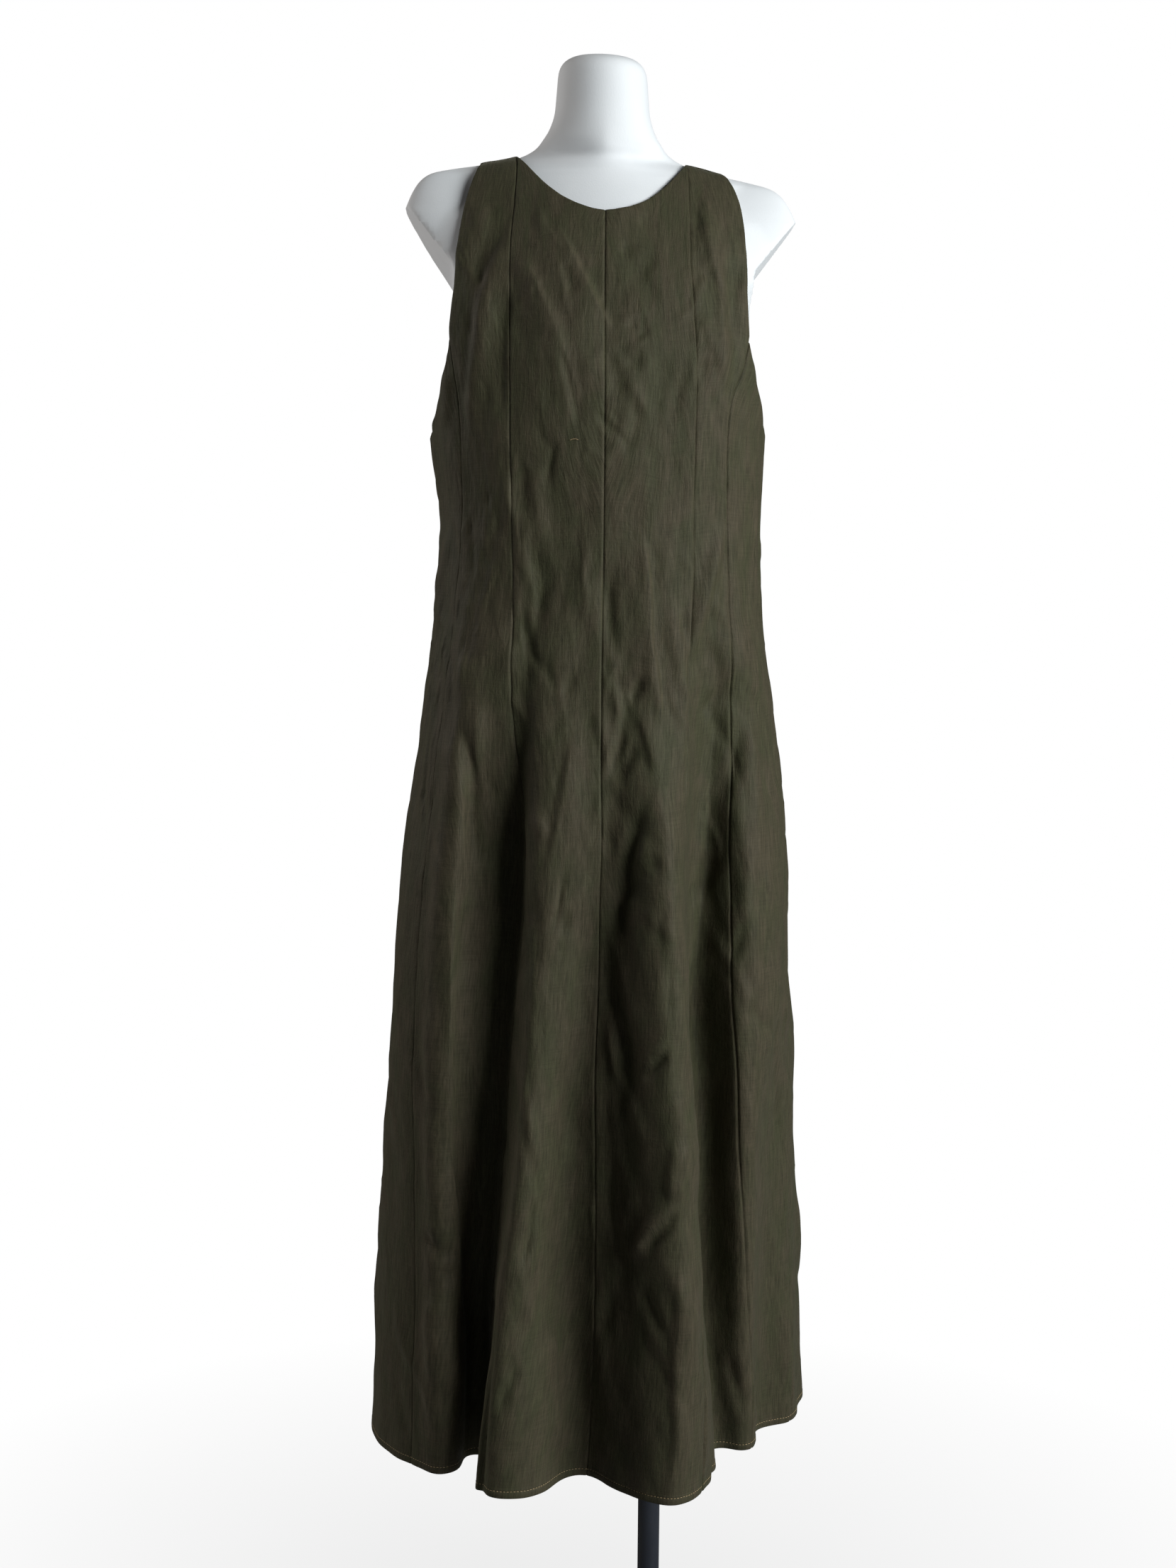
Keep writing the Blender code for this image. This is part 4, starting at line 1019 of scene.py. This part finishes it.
angle = np.arange(FORM_SIDES) * 2 * np.pi / FORM_SIDES
form_rows = smooth_rows(np.array(FORM_RINGS) / (1000, 1000, 1000, 1000, 1, 1000), 4)
form_torso = closed_rings("jersey_form", [form_ring(angle, *row) for row in form_rows])
print("form:", len(form_torso.data.polygons), "faces, top at", round(float(form_rows[0, 0]), 3))

# %% Make the stand
def turned_rings(profile, sides, x):
    """Rings of a turned piece whose profile is given as (radius, height)."""
    angle = -np.arange(sides) * 2 * np.pi / sides
    return [np.stack([x + r * np.cos(angle), r * np.sin(angle), np.full(sides, z)], axis=-1)
            for r, z in profile]


def edge_round(radius, height, size, top=True, count=5):
    """Rows (radius, height) round the outer edge of a top or an underside, listed from top to bottom."""
    angles = np.linspace(0, math.pi / 2, count)
    rows = [(radius - size + size * math.sin(a), height - size + size * math.cos(a)) for a in angles]
    return rows if top else [(r, 2 * height - z) for r, z in rows][::-1]


underside = float(form_rows[-1, 0])
pole_rows = edge_round(POLE_RADIUS, underside - SEAT_GAP, POLE_EDGE)
pole_rows += [(POLE_RADIUS, z) for z in np.linspace(underside - 0.02, 0.03, 24)]
pole_rows += edge_round(POLE_RADIUS, BASE_HEIGHT + SEAT_GAP, POLE_EDGE, top=False)
stand_pole = closed_rings("pole", turned_rings(pole_rows, 64, POLE_X))
base_rows = [(r, BASE_HEIGHT) for r in np.linspace(0.02, BASE_RADIUS - 0.006, 8)]
base_rows += edge_round(BASE_RADIUS, BASE_HEIGHT, BASE_EDGE, count=6)
base_rows += edge_round(BASE_RADIUS, 0.0, BASE_FOOT, top=False, count=3)
stand_base = closed_rings("base", turned_rings(base_rows, 160, POLE_X))
print("pole and base:", len(stand_pole.data.polygons) + len(stand_base.data.polygons), "faces")

# %% [markdown]
# ## Finishes
#
# The cloth is a plain weave of uneven, slubby yarn: fine upright streaks a millimetre or two wide, a soft
# dull sheen, and patches that are a little browner or greener where it has been rubbed. Its colour also
# holds painted light and shade: ridges of the creases are painted a little lighter and browner, troughs a
# little darker and greener. A plain noise would look like felt. So one shared group stretches noise along
# the two yarns of the UV map, which is in metres, and gives a colour mask and a height. The material itself
# holds the sheen and the specular level.

# %% Shared group for woven yarn
def noise(tree, vector, scale, detail=2.0, roughness=0.5, distortion=0.0):
    """Noise stretched by a scale per metre in each direction."""
    stretched = add(tree, "ShaderNodeVectorMath", {0: vector, 1: scale}, operation="MULTIPLY").outputs[0]
    return add(tree, "ShaderNodeTexNoise", {"Vector": stretched, "Scale": 1.0, "Detail": detail,
                                            "Roughness": roughness, "Distortion": distortion}).outputs["Fac"]


def mixed(tree, share, a, b):
    """A colour between two, each given as red, green and blue or as an output."""
    a, b = ((*c, 1.0) if isinstance(c, tuple) else c for c in (a, b))
    return add(tree, "ShaderNodeMix", {0: share, 6: a, 7: b}, data_type="RGBA").outputs[2]


def woven_group():
    """From a place on the cloth in metres and a crease mask: streaks, wear plus painted fold light and shade,
    and the weave's height.
    """
    tree, given = new_tree("woven_yarn", "ShaderNodeTree", {"Cloth": "Vector", "Crease": "Float"},
                           {"Streaks": "Float", "WearAndFoldLight": "Float", "Height": "Float"})
    cloth = given["Cloth"]
    slubs = noise(tree, cloth, (460, 34, 1), 4.0, 0.7, 0.3)
    yarns = noise(tree, cloth, (1100, 46, 1), 2.0, 0.6)
    weft = noise(tree, cloth, (34, 900, 1), 2.0, 0.6)
    rubbed = noise(tree, cloth, (42, 17, 1), 3.0, 0.62, 0.6)
    rumple = noise(tree, cloth, (150, 60, 1), 4.0, 0.6, 0.8)
    fine = math_node(tree, "MULTIPLY_ADD", yarns, 0.32, math_node(tree, "MULTIPLY", weft, 0.18))
    streaks = math_node(tree, "MULTIPLY_ADD", slubs, 0.5, fine)
    height = math_node(tree, "MULTIPLY_ADD", rumple, 0.55, math_node(tree, "MULTIPLY", streaks, 0.45))
    # Painted light and shade: the crease mask raises this on ridges and lowers it in troughs, so ridges take
    # the lighter, browner tone and troughs the darker, greener one; the rubbed noise is real wear.
    wear_and_fold_light = math_node(tree, "MULTIPLY_ADD", given["Crease"], 0.10, rubbed)
    add(tree, "NodeGroupOutput", {"Streaks": streaks, "WearAndFoldLight": wear_and_fold_light, "Height": height})
    return tree


woven = woven_group()
print("group:", woven.name)

# %% Olive cloth
# BROWNER is also the lighter tone: ridges lean to it as painted light, and troughs lean to GREENER as painted
# shade, on top of random rubbed wear.
GREENER, BROWNER, SHADED = (0.064, 0.063, 0.034), (0.082, 0.067, 0.043), (0.0240, 0.0230, 0.0132)


def finish(tree, height, bump_distance, bump_strength, looks):
    """Give the Principled shader its looks, and a bump from a height."""
    bump = add(tree, "ShaderNodeBump",
               {"Height": height, "Distance": bump_distance, "Strength": bump_strength}).outputs["Normal"]
    wire(tree, tree.nodes["Principled BSDF"], {"Normal": bump, **looks})


cloth_material, tree = new_material("olive_linen")
yarn = add(tree, "ShaderNodeGroup", node_tree=woven)
wire(tree, yarn, {"Cloth": add(tree, "ShaderNodeUVMap", uv_map="cloth").outputs["UV"],
                  "Crease": add(tree, "ShaderNodeAttribute", attribute_name="crease").outputs["Fac"]})
streaks = yarn.outputs["Streaks"]
# The tone between GREENER and BROWNER is rubbed wear plus painted fold light and shade from the crease mask.
patch = mixed(tree, ranged(tree, yarn.outputs["WearAndFoldLight"], 0.34, 0.66), GREENER, BROWNER)
finish(tree, yarn.outputs["Height"], 0.0015, 0.9, {
    "Base Color": mixed(tree, ranged(tree, streaks, 0.30, 0.64), SHADED, patch),
    "Roughness": ranged(tree, streaks, 0.3, 0.7, 0.70, 0.56), "Specular IOR Level": 0.10,
    "Sheen Weight": 0.13, "Sheen Roughness": 0.4, "Sheen Tint": (0.70, 0.68, 0.55, 1.0)})
print("cloth nodes:", len(tree.nodes))

# %% Jersey, metal and thread
jersey_material, tree = new_material("white_knit")
place = add(tree, "ShaderNodeTexCoord").outputs["Object"]
soil = ranged(tree, noise(tree, place, (14, 14, 9), 3.0), 0.3, 0.7)
finish(tree, noise(tree, place, (900, 900, 260)), 0.0003, 0.35, {
    "Base Color": mixed(tree, soil, (0.74, 0.755, 0.78), (0.80, 0.81, 0.83)),
    "Roughness": 0.9, "Sheen Weight": 0.15})

metal_material, tree = new_material("blue_black_steel")
place = add(tree, "ShaderNodeTexCoord").outputs["Object"]
worn = noise(tree, place, (40, 40, 12), 4.0, 0.6)
finish(tree, noise(tree, place, (700, 700, 240), 3.0), 0.0002, 0.25, {
    "Base Color": mixed(tree, ranged(tree, worn, 0.35, 0.65), (0.016, 0.019, 0.028), (0.021, 0.024, 0.034)),
    "Roughness": ranged(tree, worn, 0.3, 0.7, 0.36, 0.50)})

place = add(thread_tree, "ShaderNodeTexCoord").outputs["Object"]
twist = noise(thread_tree, place, (1500, 1500, 2500), 1.0)
finish(thread_tree, twist, 0.0001, 0.5, {
    "Base Color": mixed(thread_tree, twist, (0.30, 0.20, 0.10), (0.46, 0.34, 0.19)), "Roughness": 0.6})

for piece, *_ in panels.values():
    piece.data.materials.append(cloth_material)
for piece, material in ((form_torso, jersey_material), (stand_pole, metal_material),
                        (stand_base, metal_material), (loose_thread, thread_material)):
    piece.data.materials.append(material)
print("4 finishes")

# %% [markdown]
# ## Tie the pieces to the first model
#
# Every new piece rides on the same body as the solid it stands for, and the solids that the panels, the
# form and the stand replace are hidden. The cut of each panel comes from the panel's own arcs, so it holds
# all the cloth that the flutes take up.

# %% Ride and replace
for name, (piece, wide, long, area) in panels.items():
    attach(piece, "root")
    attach(hem_stitches[name], "root")
    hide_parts(name)
HARD_PIECES = (
    (form_torso, "form_torso", "white_jersey"),
    (stand_pole, "stand_pole", "black_metal"),
    (stand_base, "stand_base", "black_metal"),
)
for piece, node, slot in HARD_PIECES:
    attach(piece, "root")
    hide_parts(node)
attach(loose_thread, "root")
